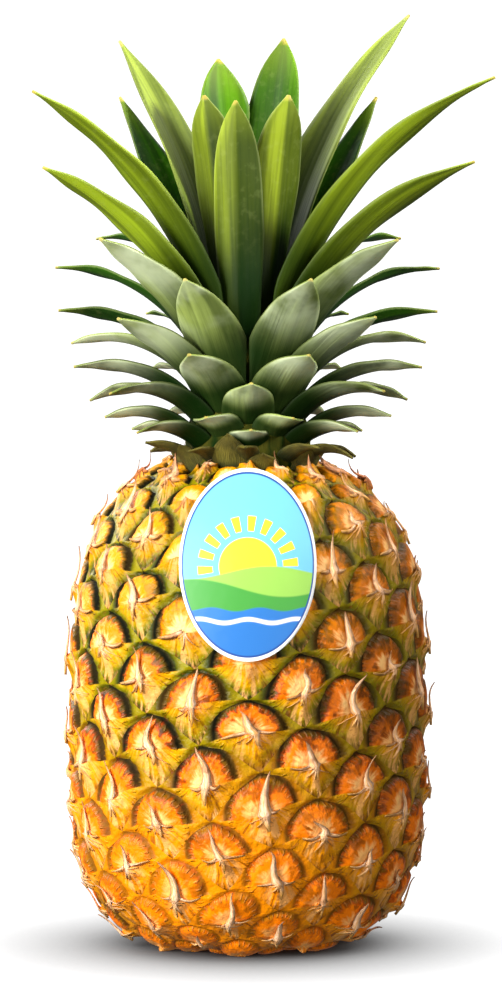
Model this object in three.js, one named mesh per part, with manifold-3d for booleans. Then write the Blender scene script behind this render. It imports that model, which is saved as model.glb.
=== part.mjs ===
// A whole pineapple, standing on its base: a fruit covered in raised eyes, a crown of leaves
// on a short stem, and an oval paper label on the front.
// Lengths are millimetres and angles degrees. +Z is up, the front faces -Y, and the origin is
// the middle of the base. Directions round the axis are counted from the front, rightwards.
import * as THREE from "three";
import Module from "manifold-3d";

const wasm = await Module();
wasm.setup();

// Fruit outline: two half superellipses that meet at the belly
const FRUIT_RADIUS = 58;
const SEAT_HEIGHT = 153;
const SEAT_RADIUS = 21.4;
const BELLY_HEIGHT = 68;
const BASE_DROP = 70;
const BASE_POWER = 3.2;
const SHOULDER_RISE = 90.5;
const SHOULDER_POWER = 3.2;
const POLE_RADIUS = 10;

// Eyes: 8 spirals climb to the left and 13 to the right, one eye every EYE_TURN
const LEFT_SPIRALS = 8;
const RIGHT_SPIRALS = 13;
const EYE_TURN = 137.3;
const EYE_RISE = 1.12;
const EYE_SHRINK = 0.4;
const FIRST_EYE_HEIGHT = 73.5;
const FIRST_EYE_DIRECTION = 2.2;
const EYE_STEPS = 4;
const EYE_RIM = 0.35;
const CREVICE_DEPTH = 3.4;
const BRACT_LIP = 1.4;
const BRACT_SLOPE = 1.6;
const EYE_BOW = 1.8;

// The dry point of each eye's bract
const SPINE_LENGTH = 8;
const SPINE_STAND = 3.2;
const SPINE_HALF_WIDTH = 1.5;
const SPINE_ROOT = 2.4;
const LOWEST_SPINE = 9;
const HIGHEST_SPINE = 150;

// Cut stalk in the middle of the base
const STALK_RADIUS = 15;
const STALK_DEPTH = 9;

// Crown stem, as radius and height from its foot in the seat to its top
const STEM_SIDES = 18;
const STEM_PROFILE = [
  [21, SEAT_HEIGHT + 0.3],
  [20.5, 166],
  [17, 182],
  [11, 198],
  [5, 210],
];
const LEAF_GAP = 0.3;

// Leaves
const LEAF_STATIONS = 7;
const LEAF_ROOT_DEPTH = 3;
const LEAF_THICKNESS = 1.5;
const TIP_THICKNESS = 0.8;
const EDGE_THICKNESS = 0.6;
const TIP_HALF_WIDTH = 0.4;
const CHANNEL_SHARE = 1.3;
const ROOM_BESIDE = 28;
const ROOM_GAP = 1;
const LEAF_TWIST = 32;

// Dry scales round the foot of the stem
const NECK_SCALES = 10;
const NECK_SCALE = { root: 159.2, reach: 36, tip: 163, width: 14, taper: 2, start: 36 };

// How steeply leaves start: steeper up the stem, and steeper at the front
const LOWEST_ROOT = 162;
const HIGHEST_ROOT = 203;
const LOWEST_START = 30;
const HIGHEST_START = 84;
const FRONT_LIFT = 15;

// One row for each ring of like leaves, from the lowest to the heart of the crown: the directions
// they grow in, the height of the root on the stem, how far out and how high the tip is,
// the width, how far along the blade stays broad and, where they aren't LEAF_TWIST and
// ROOM_BESIDE, its twist and the room that it has on each side.
const LEAF_RINGS = [
  { at: [0], root: 163.7, reach: 27, tip: 169, width: 15, taper: 3 },
  { at: [-56, 56, -118, 118, 180], root: 163.9, reach: 43, tip: 168, width: 16, taper: 2 },
  { at: [-28, 28], root: 167.4, reach: 29, tip: 173, width: 18, taper: 3 },
  { at: [-86, 86, -146, 146], root: 167.4, reach: 47, tip: 173, width: 16, taper: 2 },
  { at: [0], root: 171.5, reach: 31, tip: 184, width: 19, taper: 3 },
  { at: [-60, 60], root: 171.5, reach: 51, tip: 181, width: 18, taper: 2 },
  { at: [-118, 118, 180], root: 171.5, reach: 60, tip: 178, width: 16, taper: 2 },
  { at: [-30, 30], root: 175.2, reach: 39, tip: 193, width: 23, taper: 3, room: 29 },
  { at: [-86, 86, -146, 146], root: 175.2, reach: 57, tip: 188.6, width: 17, taper: 2 },
  { at: [-60, 60], root: 179.6, reach: 48, tip: 205, width: 22, taper: 2.4 },
  { at: [-118, 118, 180], root: 179.6, reach: 67, tip: 197, width: 18, taper: 2 },
  { at: [-31, 31], root: 183.4, reach: 41, tip: 217, width: 25, taper: 3, room: 29.5 },
  { at: [-88, 88, -147, 147], root: 183.4, reach: 62, tip: 207, width: 18, taper: 2 },
  { at: [-59, 59], root: 187.5, reach: 56, tip: 230, width: 23, taper: 2.4 },
  { at: [-117, 117, 180], root: 187.5, reach: 72, tip: 222, width: 19, taper: 2 },
  { at: [-68], root: 191.5, reach: 71, tip: 253, width: 21, taper: 2.4 },
  { at: [68], root: 191.5, reach: 78, tip: 255, width: 21, taper: 2.4 },
  { at: [-140, 140], root: 191.5, reach: 81, tip: 233, width: 19, taper: 2 },
  { at: [-60], root: 195.5, reach: 79, tip: 276.5, width: 18, taper: 2 },
  { at: [60], root: 195.5, reach: 89.5, tip: 281, width: 18, taper: 2 },
  { at: [-121, 121, 180], root: 195.5, reach: 50, tip: 279, width: 23, taper: 2.4, twist: -34 },
  { at: [-12], root: 198, reach: 20, tip: 275, width: 18, taper: 7, room: 32 },
  { at: [-130], root: 200, reach: 56.5, tip: 298.5, width: 23, taper: 2.8, twist: -12 },
  { at: [130], root: 200, reach: 70, tip: 308, width: 23, taper: 2.8, twist: -12 },
  { at: [-48, 44], root: 202, reach: 20, tip: 277, width: 21, taper: 7, room: 36 },
  { at: [-147], root: 203, reach: 19, tip: 291, width: 22, taper: 9, twist: -20, room: 32 },
  { at: [147], root: 203, reach: 23, tip: 298, width: 23, taper: 7, twist: -20, room: 32 },
];

// Label: an oval that lies on the eyes at the front
const LABEL_HEIGHT = 60;
const LABEL_WIDTH = 43;
const LABEL_MIDDLE = 127;
const LABEL_STAND = 2.2;
const LABEL_LEAVES_FRUIT = 146;
const LABEL_THICKNESS = 0.6;
const LABEL_MARGIN = 7;
const LABEL_ROWS = 12;
const LABEL_COLUMNS = 6;

const radians = THREE.MathUtils.degToRad;

// A point given by its distance from the axis, its height and its direction.
function around(radius, height, direction) {
  const angle = radians(direction);
  return new THREE.Vector3(radius * Math.sin(angle), -radius * Math.cos(angle), height);
}

// A closed solid from its corners and the triangles between them.
function solid(corners, triangles) {
  const vertProperties = new Float32Array(corners.flatMap((corner) => corner.toArray()));
  const triVerts = new Uint32Array(triangles.flat());
  return new wasm.Manifold(new wasm.Mesh({ numProp: 3, vertProperties, triVerts }));
}

// The same for a three.js geometry, whose corners are shared by position.
function solidOf(geometry) {
  const plain = geometry.index ? geometry.toNonIndexed() : geometry;
  const position = plain.getAttribute("position");
  const numbers = new Map();
  const corners = [];
  const order = [];
  for (let i = 0; i < position.count; i++) {
    const corner = new THREE.Vector3().fromBufferAttribute(position, i);
    const key = corner.toArray().map((x) => x.toFixed(4) * 1).join();
    if (!numbers.has(key)) {
      numbers.set(key, corners.length);
      corners.push(corner);
    }
    order.push(numbers.get(key));
  }
  const triangles = [];
  for (let i = 0; i < order.length; i += 3) {
    const [a, b, c] = order.slice(i, i + 3);
    if (a !== b && b !== c && c !== a) triangles.push([a, b, c]);
  }
  return solid(corners, triangles);
}

// A named mesh from a solid.
function meshOf(name, made, material) {
  const { numProp, vertProperties, triVerts } = made.getMesh();
  const corners = new THREE.InterleavedBuffer(vertProperties, numProp);
  const geometry = new THREE.BufferGeometry();
  geometry.setAttribute("position", new THREE.InterleavedBufferAttribute(corners, 3, 0));
  geometry.setIndex(new THREE.BufferAttribute(triVerts, 1));
  geometry.computeVertexNormals();
  const mesh = new THREE.Mesh(geometry, material);
  mesh.name = name;
  return mesh;
}

// Radius over the eyes at a height.
function fruitRadius(height) {
  const above = height > BELLY_HEIGHT;
  const reach = above ? SHOULDER_RISE : BASE_DROP;
  const power = above ? SHOULDER_POWER : BASE_POWER;
  const share = Math.min(1, Math.abs(height - BELLY_HEIGHT) / reach);
  return FRUIT_RADIUS * (1 - share ** power) ** (1 / power);
}

// The fruit's outline from pole to pole, with the number of eyes passed on the way up it.
// Eyes shrink with the fruit's radius towards both ends.
function outlineWithEyes() {
  const steps = 600;
  const outline = [];
  for (let i = 0; i <= steps; i++) {
    const turn = (Math.PI * i) / steps - Math.PI / 2;
    const above = turn > 0;
    const power = 2 / (above ? SHOULDER_POWER : BASE_POWER);
    const rise = (above ? SHOULDER_RISE : -BASE_DROP) * Math.abs(Math.sin(turn)) ** power;
    const radius = FRUIT_RADIUS * Math.abs(Math.cos(turn)) ** power;
    if (radius >= POLE_RADIUS) outline.push({ radius, height: BELLY_HEIGHT + rise, eyes: 0 });
  }
  for (let i = 1; i < outline.length; i++) {
    const [from, to] = [outline[i - 1], outline[i]];
    const step = Math.hypot(to.radius - from.radius, to.height - from.height);
    const rise = EYE_RISE * (to.radius / FRUIT_RADIUS) ** EYE_SHRINK;
    to.eyes = from.eyes + step / rise;
  }
  const first = outline.find((point) => point.height >= FIRST_EYE_HEIGHT).eyes;
  for (const point of outline) point.eyes -= first;
  return outline;
}

const OUTLINE = outlineWithEyes();

// Place on the outline of eye number n, which may be a fraction, with the way out of the fruit.
function onOutline(n) {
  let i = OUTLINE.findIndex((point) => point.eyes >= n);
  i = i < 0 ? OUTLINE.length - 1 : Math.max(1, i);
  const [from, to] = [OUTLINE[i - 1], OUTLINE[i]];
  const share = (n - from.eyes) / (to.eyes - from.eyes);
  const along = new THREE.Vector2(to.radius - from.radius, to.height - from.height).normalize();
  return {
    radius: from.radius + share * (to.radius - from.radius),
    height: from.height + share * (to.height - from.height),
    along,
    out: new THREE.Vector2(along.y, -along.x),
  };
}

// Where a step along each family of spirals leads: eye numbers up, and degrees to the right.
const LEFT_STEP = { eyes: LEFT_SPIRALS, turn: -(LEFT_SPIRALS * EYE_TURN - 3 * 360) };
const RIGHT_STEP = { eyes: RIGHT_SPIRALS, turn: -(RIGHT_SPIRALS * EYE_TURN - 5 * 360) };

function eyeNumber(left, right) {
  return left * LEFT_STEP.eyes + right * RIGHT_STEP.eyes;
}

function eyeDirection(left, right) {
  return FIRST_EYE_DIRECTION + left * LEFT_STEP.turn + right * RIGHT_STEP.turn;
}

// Height of an eye's relief. left and right run from -0.5 to 0.5 across the eye: the rounded
// shield fills its upper half, and its bract overlaps that from below with a raised lip.
function eyeRelief(left, right) {
  const rim = THREE.MathUtils.smoothstep(0.5 - Math.max(Math.abs(left), Math.abs(right)), 0, EYE_RIM);
  const up = left + right;
  const lip = BRACT_LIP * (1 - Math.abs(left - right));
  const bract = up < 0.01 ? lip + BRACT_SLOPE * up : 0;
  return (CREVICE_DEPTH + bract) * rim - CREVICE_DEPTH;
}

// How far the seams between eyes bow upwards, which rounds off the shields.
function eyeBow(left, right) {
  const wave = (x) => Math.sin(Math.PI * x) ** 2;
  return EYE_BOW * (wave(left) * (1 - wave(right)) + wave(right) * (1 - wave(left)));
}

function rindPoint(left, right) {
  const [a, b] = [left - Math.round(left), right - Math.round(right)];
  const place = onOutline(eyeNumber(left, right));
  const relief = eyeRelief(a, b);
  const bow = eyeBow(a, b);
  return around(
    place.radius + relief * place.out.x + bow * place.along.x,
    place.height + relief * place.out.y + bow * place.along.y,
    eyeDirection(left, right),
  );
}

// The rind: a net of steps along both families of spirals, closed at the poles.
function rindSolid() {
  const n = EYE_STEPS;
  const lowest = OUTLINE[0].eyes;
  const highest = OUTLINE[OUTLINE.length - 1].eyes;
  const corners = [new THREE.Vector3(0, 0, OUTLINE[0].height)];
  corners.push(new THREE.Vector3(0, 0, OUTLINE[OUTLINE.length - 1].height));
  const numbers = new Map();
  const cornerAt = (p, q) => {
    const eye = eyeNumber(p / n, q / n);
    if (eye <= lowest) return 0;
    if (eye >= highest) return 1;
    const turns = Math.floor(p / (RIGHT_SPIRALS * n));
    const [left, right] = [p - turns * RIGHT_SPIRALS * n, q + turns * LEFT_SPIRALS * n];
    const key = `${left},${right}`;
    if (!numbers.has(key)) {
      numbers.set(key, corners.length);
      corners.push(rindPoint(left / n, right / n));
    }
    return numbers.get(key);
  };
  const triangles = [];
  for (let p = 0; p < RIGHT_SPIRALS * n; p++) {
    const from = Math.floor((lowest * n - LEFT_SPIRALS * (p + 1)) / RIGHT_SPIRALS) - 1;
    const to = Math.ceil((highest * n - LEFT_SPIRALS * p) / RIGHT_SPIRALS) + 1;
    for (let q = from; q < to; q++) {
      const [a, b] = [cornerAt(p, q), cornerAt(p + 1, q)];
      const [c, d] = [cornerAt(p + 1, q + 1), cornerAt(p, q + 1)];
      for (const triangle of [[a, d, b], [b, d, c]]) {
        if (new Set(triangle).size === 3) triangles.push(triangle);
      }
    }
  }
  return solid(corners, triangles);
}

// Whether a place on the fruit is behind the label, or near enough for a spine to touch it.
function underLabel(direction, height) {
  const angle = radians(direction);
  const across = (fruitRadius(height) * Math.sin(angle)) / (LABEL_WIDTH / 2 + LABEL_MARGIN);
  const up = (height - LABEL_MIDDLE) / (LABEL_HEIGHT / 2 + LABEL_MARGIN);
  return Math.cos(angle) > 0 && across ** 2 + up ** 2 < 1;
}

// The dry point of one bract, a three-sided needle that rises over its eye's shield.
function spineSolid(left, right) {
  const place = onOutline(eyeNumber(left, right));
  const direction = eyeDirection(left, right);
  const at = (out, up, across) => {
    const radius = place.radius + out * place.out.x + up * place.along.x;
    const point = around(radius, place.height + out * place.out.y + up * place.along.y, direction);
    const angle = radians(direction);
    return point.add(new THREE.Vector3(across * Math.cos(angle), across * Math.sin(angle), 0));
  };
  const corners = [
    at(-SPINE_ROOT, 0, -SPINE_HALF_WIDTH),
    at(-SPINE_ROOT, 0, SPINE_HALF_WIDTH),
    at(BRACT_LIP / 2, -SPINE_ROOT, 0),
    at(SPINE_STAND, SPINE_LENGTH, 0),
  ];
  return solid(corners, [[0, 1, 2], [1, 0, 3], [2, 1, 3], [0, 2, 3]]);
}

// All spines, but for those that the label presses flat.
function spineSolids() {
  const spines = [];
  for (let left = 0; left < RIGHT_SPIRALS; left++) {
    for (let right = -40; right < 40; right++) {
      const eye = eyeNumber(left, right);
      if (eye <= OUTLINE[0].eyes || eye >= OUTLINE[OUTLINE.length - 1].eyes) continue;
      const { height } = onOutline(eye);
      if (height < LOWEST_SPINE || height > HIGHEST_SPINE) continue;
      if (!underLabel(eyeDirection(left, right), height)) spines.push(spineSolid(left, right));
    }
  }
  return spines;
}

// The space under the ground, which cuts the base flat.
function underground() {
  const depth = 2 * FRUIT_RADIUS;
  const block = new THREE.BoxGeometry(2 * depth, 2 * depth, depth);
  return solidOf(block.translate(0, 0, -depth / 2));
}

// An upright round bar between two heights.
function bar(radius, from, to) {
  const cylinder = new THREE.CylinderGeometry(radius, radius, to - from, STEM_SIDES);
  return solidOf(cylinder.rotateX(Math.PI / 2).translate(0, 0, (from + to) / 2));
}

// The whole fruit: rind and spines, cut flat where it stands, with the cut stalk in the middle
// of the base and a round seat for the crown on top.
function fruitSolid() {
  return wasm.Manifold.union([rindSolid(), ...spineSolids()])
    .subtract(underground())
    .subtract(bar(SEAT_RADIUS, SEAT_HEIGHT, SEAT_HEIGHT + 20))
    .add(bar(STALK_RADIUS, 0, STALK_DEPTH));
}

// The crown's stem, or the space that it takes up with a gap round it.
function stemSolid(gap = 0) {
  const points = STEM_PROFILE.map(([radius, height]) => new THREE.Vector2(radius + gap, height));
  points[0].y -= gap;
  points[points.length - 1].y += gap;
  points.unshift(new THREE.Vector2(0, points[0].y));
  points.push(new THREE.Vector2(0, points[points.length - 1].y));
  return solidOf(new THREE.LatheGeometry(points, STEM_SIDES).rotateX(Math.PI / 2));
}

function stemRadius(height) {
  const i = Math.max(1, STEM_PROFILE.findIndex(([, top]) => top >= height));
  const [[r0, z0], [r1, z1]] = [STEM_PROFILE[i - 1], STEM_PROFILE[i]];
  return r0 + ((r1 - r0) * (height - z0)) / (z1 - z0);
}

// Half the leaf's width at a share of its length.
function leafHalfWidth(width, taper, share) {
  return Math.max(TIP_HALF_WIDTH, (width / 2) * (1 - share ** taper));
}

// How steeply a leaf leaves the stem, so that inner leaves nest in outer ones.
function leafStart(root, direction) {
  const share = (root - LOWEST_ROOT) / (HIGHEST_ROOT - LOWEST_ROOT);
  const start = THREE.MathUtils.lerp(LOWEST_START, HIGHEST_START, share);
  const room = (90 - start) / (90 - LOWEST_START);
  return start + FRONT_LIFT * room * Math.max(0, Math.cos(radians(direction)));
}

// A leaf's middle line: an arc that starts steeply at the stem and bends outwards to the tip.
// It gives the place and the tilt at a share of the leaf's length.
function leafArc({ root, reach, tip, start }, direction) {
  const rootRadius = stemRadius(root);
  const first = radians(start ?? leafStart(root, direction));
  const half = first - Math.atan2(tip - root, reach - rootRadius);
  const length = (Math.hypot(reach - rootRadius, tip - root) * half) / Math.sin(half);
  return (share) => {
    const turned = half * share;
    const gone = length * share * (turned > 0 ? Math.sin(turned) / turned : 1);
    const radius = rootRadius + gone * Math.cos(first - turned);
    const height = root + gone * Math.sin(first - turned);
    return { radius, height, tilt: first - 2 * turned };
  };
}

// The six corners of a leaf's cross-section: left edge, middle and right edge of the upper face,
// then of the lower face backwards. The edges curl up into a channel round the stem.
function leafSection(leaf, direction, share) {
  const { radius, height, tilt } = leafArc(leaf, direction)(share);
  const angle = radians(direction);
  const roll = radians(leaf.twist ?? LEAF_TWIST) * share * Math.sin(angle);
  const sideWay = new THREE.Vector3(Math.cos(angle), Math.sin(angle), 0);
  const innerWay = around(-Math.sin(tilt), Math.cos(tilt), direction);
  const axis = new THREE.Vector3().crossVectors(innerWay, sideWay);
  for (const way of [sideWay, innerWay]) way.applyAxisAngle(axis, roll);

  const room = Math.max(radius, 6) * Math.tan(radians(leaf.room ?? ROOM_BESIDE)) - ROOM_GAP;
  const halfWidth = Math.min(room, leafHalfWidth(leaf.width, leaf.taper, share));
  const stemRound = Math.max(radius, 3) / Math.max(0.05, Math.sin(tilt));
  const channel = Math.min(stemRound, (CHANNEL_SHARE * leaf.width) / 2);
  const opening = Math.min(halfWidth / channel, 1.4);
  const edge = channel * Math.sin(opening);
  const rise = channel * (1 - Math.cos(opening));

  const sunk = share === 0 ? LEAF_ROOT_DEPTH : 0;
  const middle = around(radius - sunk * Math.cos(tilt), height - sunk * Math.sin(tilt), direction);
  const at = (across, inner) =>
    middle.clone().addScaledVector(sideWay, across).addScaledVector(innerWay, inner);
  const thick = THREE.MathUtils.lerp(LEAF_THICKNESS, TIP_THICKNESS, share) / 2;
  const thin = EDGE_THICKNESS / 2;
  const upper = [at(-edge, rise + thin), at(0, thick), at(edge, rise + thin)];
  const lower = [at(edge, rise - thin), at(0, -thick), at(-edge, rise - thin)];
  return [...upper, ...lower];
}

// One leaf, its two faces split into triangles alike.
function leafSolid(leaf, direction) {
  const corners = [];
  const triangles = [];
  for (let i = 0; i < LEAF_STATIONS; i++) {
    corners.push(...leafSection(leaf, direction, i / (LEAF_STATIONS - 1)));
  }
  for (let i = 0; i < LEAF_STATIONS - 1; i++) {
    for (let k = 0; k < 6; k++) {
      const [a, b] = [6 * i + k, 6 * i + ((k + 1) % 6)];
      const [c, d] = [b + 6, a + 6];
      triangles.push(...(k < 3 ? [[a, c, b], [a, d, c]] : [[a, d, b], [b, d, c]]));
    }
  }
  const last = 6 * (LEAF_STATIONS - 1);
  for (const [a, b, c] of [[0, 1, 5], [1, 4, 5], [1, 2, 4], [2, 3, 4]]) {
    triangles.push([a, b, c], [last + a, last + c, last + b]);
  }
  return solid(corners, triangles);
}

// The stem with its ring of dry scales.
function scalyStemSolid() {
  const scales = [];
  for (let i = 0; i < NECK_SCALES; i++) scales.push(leafSolid(NECK_SCALE, (360 * i) / NECK_SCALES));
  return wasm.Manifold.union([stemSolid(), ...scales]);
}

// Radius of the label's back at a height: over the eyes, then straight on past the shoulder.
function labelRadius(height) {
  const resting = Math.min(height, LABEL_LEAVES_FRUIT);
  const slope = fruitRadius(LABEL_LEAVES_FRUIT + 0.5) - fruitRadius(LABEL_LEAVES_FRUIT - 0.5);
  return fruitRadius(resting) + LABEL_STAND + slope * (height - resting);
}

function labelSolid() {
  const corners = [];
  const triangles = [];
  const columns = LABEL_COLUMNS + 1;
  for (const out of [0, LABEL_THICKNESS]) {
    for (let i = 0; i <= LABEL_ROWS; i++) {
      const turn = (Math.PI * (i + 0.35)) / (LABEL_ROWS + 0.7);
      const height = LABEL_MIDDLE - (LABEL_HEIGHT / 2) * Math.cos(turn);
      const radius = labelRadius(height);
      for (let k = 0; k < columns; k++) {
        const across = LABEL_WIDTH * (k / LABEL_COLUMNS - 0.5) * Math.sin(turn);
        const direction = THREE.MathUtils.radToDeg(Math.asin(across / radius));
        corners.push(around(radius + out, height, direction));
      }
    }
  }
  const front = corners.length / 2;
  const quad = (a, b, c, d) => triangles.push([a, b, c], [a, c, d]);
  for (let i = 0; i < LABEL_ROWS; i++) {
    for (let k = 0; k < LABEL_COLUMNS; k++) {
      const a = i * columns + k;
      quad(front + a, front + a + 1, front + a + columns + 1, front + a + columns);
      quad(a + columns, a + columns + 1, a + 1, a);
    }
    const [left, right] = [i * columns, i * columns + LABEL_COLUMNS];
    quad(left, front + left, front + left + columns, left + columns);
    quad(right + columns, front + right + columns, front + right, right);
  }
  for (let k = 0; k < LABEL_COLUMNS; k++) {
    const top = LABEL_ROWS * columns + k;
    quad(k, k + 1, front + k + 1, front + k);
    quad(front + top, front + top + 1, top + 1, top);
  }
  return solid(corners, triangles);
}

const matte = (color, roughness) => new THREE.MeshStandardMaterial({ color, roughness, metalness: 0 });
const rindFinish = matte(0xb5862a, 0.6);
const stemFinish = matte(0xb9b97a, 0.7);
const lowLeafFinish = matte(0x6f7f58, 0.5);
const highLeafFinish = matte(0x6c8c1e, 0.45);
const labelFinish = matte(0xbfe0f2, 0.4);
const GREENER_ABOVE = 184;

const pineapple = new THREE.Group();
pineapple.add(meshOf("fruit", fruitSolid(), rindFinish));
pineapple.add(meshOf("crown_stem", scalyStemSolid(), stemFinish));
pineapple.add(meshOf("label", labelSolid(), labelFinish));

const stemSpace = stemSolid(LEAF_GAP);
LEAF_RINGS.forEach((ring, i) => {
  ring.at.forEach((direction, k) => {
    const name = `leaf_${String(i + 1).padStart(2, "0")}_${"abcdef"[k]}`;
    const finish = ring.root > GREENER_ABOVE ? highLeafFinish : lowLeafFinish;
    pineapple.add(meshOf(name, leafSolid(ring, direction).subtract(stemSpace), finish));
  });
});

export default pineapple;
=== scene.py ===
"""Dresses a pineapple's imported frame: rind, bracts, stalk, crown, label and stage.

Lengths in the tables below are millimetres where no comment says metres, and directions are
degrees round the axis, counted from the front (-Y) to the right. Every mesh is built in metres.
"""

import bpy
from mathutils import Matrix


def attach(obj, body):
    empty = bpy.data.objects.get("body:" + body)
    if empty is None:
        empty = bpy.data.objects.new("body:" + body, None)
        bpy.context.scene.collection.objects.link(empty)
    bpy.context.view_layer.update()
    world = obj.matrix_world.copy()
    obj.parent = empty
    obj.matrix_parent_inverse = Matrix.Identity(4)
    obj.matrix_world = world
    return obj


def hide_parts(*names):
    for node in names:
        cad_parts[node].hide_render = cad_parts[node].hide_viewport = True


bl_info = {
    "name": "Pineapple",
    "version": (1, 0, 0),
    "blender": (4, 5, 0),
    "location": "View3D > Sidebar > Pineapple",
    "description": "Dresses a pineapple's frame with its rind, bracts, crown, label and stage",
    "category": "Object",
}

import math
import random
from typing import NamedTuple

import bpy
import numpy as np
from bpy.props import FloatProperty, FloatVectorProperty, IntProperty, PointerProperty
from mathutils import Vector, noise

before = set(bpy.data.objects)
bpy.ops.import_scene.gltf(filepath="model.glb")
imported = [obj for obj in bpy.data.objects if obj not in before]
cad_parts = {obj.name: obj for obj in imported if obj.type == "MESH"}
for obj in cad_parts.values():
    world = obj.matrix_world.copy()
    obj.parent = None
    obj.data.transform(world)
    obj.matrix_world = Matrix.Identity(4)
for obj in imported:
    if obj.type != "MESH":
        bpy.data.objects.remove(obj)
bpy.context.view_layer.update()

MM = 0.001
BODY = "root"
SEED = 11

# Two families of spirals carry the eyes: 8 climb to the left and 13 to the right
LEFT_SPIRALS = 8
RIGHT_SPIRALS = 13
EYE_TURN = 137.3
LEFT_TURN = 3 * 360 - LEFT_SPIRALS * EYE_TURN
RIGHT_TURN = 5 * 360 - RIGHT_SPIRALS * EYE_TURN
FIRST_EYE_HEIGHT = 73.5
FIRST_EYE_DIRECTION = 2.2

# Size of an eye at the belly, and the power of the fruit's radius by which eyes shrink
EYE_HALF_HEIGHT = 11.75
EYE_HALF_WIDTH = 17
EYE_SHRINK = 0.4

# How full the crevices are at the ripe base, and the radius inside which the net closes to a pole
RIPE_FILL = 0.7
POLE_RADIUS = 10
OUTLINE_STEPS = 2001

# The shield in the upper half of an eye, as shares of half the eye's width and height
SHIELD_WIDTH = 0.61
SHIELD_HEIGHT = 0.93

# How far the colours of a shield lie to the left of its middle
SHIELD_LEAN = 0.06

# Relief of an eye: heights and depths in millimetres, and places as shares of the eye
CREVICE_EDGE = 0.99
CREVICE_BREADTH = 0.1
SHIELD_FOOT = 1.03
SHIELD_WALL = 0.2
DOME_RISE = 1.1
HOLLOW_DEPTH = 0.8
HOLLOW_REACH = 0.3
LIP_FALL = 1.5
KEEL_RISE = 0.8
KEEL_REACH = 0.1
CREASE_DEPTH = 0.7
CREASE_REACH = 0.07
CREASE_PLACE = 0.18
CREASE_LEAN = 0.3
BRACT_SLOPE = 0.45
BRACT_EDGE = 0.02

# Small lumps all over the rind
LUMPS_A_METRE = 230
LUMP_HEIGHT = 0.45

# How far eyes stray from their places, and over what distance that changes, in metres
UNEVEN_SHIFT = 0.0028
UNEVEN_SPAN = 0.022

# Keys of the rind's corners: one for each pole, and a span longer than any spiral for the others
TOP_KEY = -1
BASE_KEY = -2
KEY_SPAN = 100000

# Scatters the eyes' numbers into chances from 0 to 1
CHANCE_LEFT = 12.9898
CHANCE_RIGHT = 78.233
CHANCE_SPREAD = 43758.5453

# Rows of a dry point from its root on the bract to its tip: share along it and half width
POINT_ROWS = [
    (-0.5, 0.3),
    (-0.28, 0.8),
    (-0.08, 1.3),
    (0.03, 2.1),
    (0.12, 1.6),
    (0.28, 1.25),
    (0.5, 1.0),
    (0.7, 0.7),
    (0.86, 0.42),
    (1.0, 0.1),
]

# A number of eyes that no spiral reaches
MOST_EYES = 40

# Heights between which bracts have points, the least height of these, and where they are brown
LOWEST_POINT = 5
HIGHEST_POINT = 156.5
POINT_CLEARANCE = 0.2
DRY_ABOVE = 138
DRY_SPAN = 16

# How dry points differ: length, lean and sway to one side, hook off the fruit, twist and breadth
POINT_REACH = (0.65, 1.1)
POINT_LEAN = 0.2
POINT_SWAY = 0.07
POINT_WAVES = 5
POINT_HOOK = (0.5, 1.9)
POINT_TWIST = 0.7
POINT_BREADTH = (0.75, 1.2)

# Section of a dry point: how high its root lies and how far it dips, with its ridge and its back
POINT_ROOT = 0.5
POINT_DIP = 1.4
POINT_RIDGE = 0.5
POINT_BACK = 0.35

# Shares of the points that are broken off, and of their length that is left
BROKEN_POINTS = 0.15
BROKEN_REACH = 0.5

# How far to the side each corner of a point's, lip's or fibre's ring is
RING_SIDES = (-1, 0, 1, 0)

# Papery lips: the share that is lost, their reach, curl, dip and start, and how their height tapers
LOST_LIPS = 0.25
LIP_REACH = (0.2, 0.5)
LIP_CURL = (0.2, 1.0)
LIP_DIP = (0.02, 0.1)
LIP_START = 0.05
LIP_HEIGHT = 0.9
LIP_END_HEIGHT = 0.1
LIP_TAPER = 0.8

# Section of a papery lip: how far its foot lies down the bract, and how high each corner is on it
LIP_FOOT = 0.05
LIP_FOOT_DEPTH = 0.3
LIP_FRONT = 0.35
LIP_RIM = 0.1
LIP_BACK_DEPTH = 0.1

# Dry fibres below a point: the ways they fan out in radians, and how these open along a fibre
STRAND_WAYS = (-1.0, -0.45, 0.05, 0.5, 1.0)
STRAND_STRAY = 0.2
STRAND_FIRST_WAY = 0.4
STRAND_OPENING = 0.6
STRAND_SPREAD = 0.8

# Start, reach and section of a dry fibre, and how far it falls behind at its end
STRAND_START = -0.02
STRAND_REACH = (0.25, 0.6)
STRAND_LAG = 0.2
STRAND_HALF_WIDTH = 0.034
STRAND_TIP_HALF_WIDTH = 0.006
STRAND_SECTION = [(-1, -0.3), (0, 0.45), (1, -0.3), (0, -0.6)]

# How the papery colour fades from a point's root along fibres and lips, at each of their rings
FIBRE_FADE = np.linspace(0, -0.4, 7)

# Cut stalk, as share of its radius and height from its worn end up into the fruit
STALK_PROFILE = [(0.86, 0), (0.97, 0.15), (1.0, 0.6), (1.0, 9)]
STALK_STEP = 7.5
STALK_LUMPS = 3
STALK_GRAIN = 5
STALK_WEAR = 0.03

# Crown stem, as radius and height from its foot in the seat to its top
STEM_PROFILE = [(21, 153.3), (20.5, 166), (17, 182), (11, 198), (5, 210)]
STEM_LEVELS = 40
STEM_STEP = 6
STEM_RING = 0.25
STEM_RINGS = 1.6

# How steeply leaves start: steeper up the stem, and steeper at the front
LOWEST_ROOT = 162
HIGHEST_ROOT = 203
LOWEST_START = 30
HIGHEST_START = 84
FRONT_LIFT = 15

# Leaf sections
LEAF_ROOT_DEPTH = 3
TIP_HALF_WIDTH = 0.4
CHANNEL_SHARE = 1.3
ROOM_BESIDE = 28
ROOM_GAP = 1
ROOM_RADIUS = 6
CHANNEL_RADIUS = 3
FLATTEST_TILT = 0.05
WIDEST_OPENING = 1.4

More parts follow.
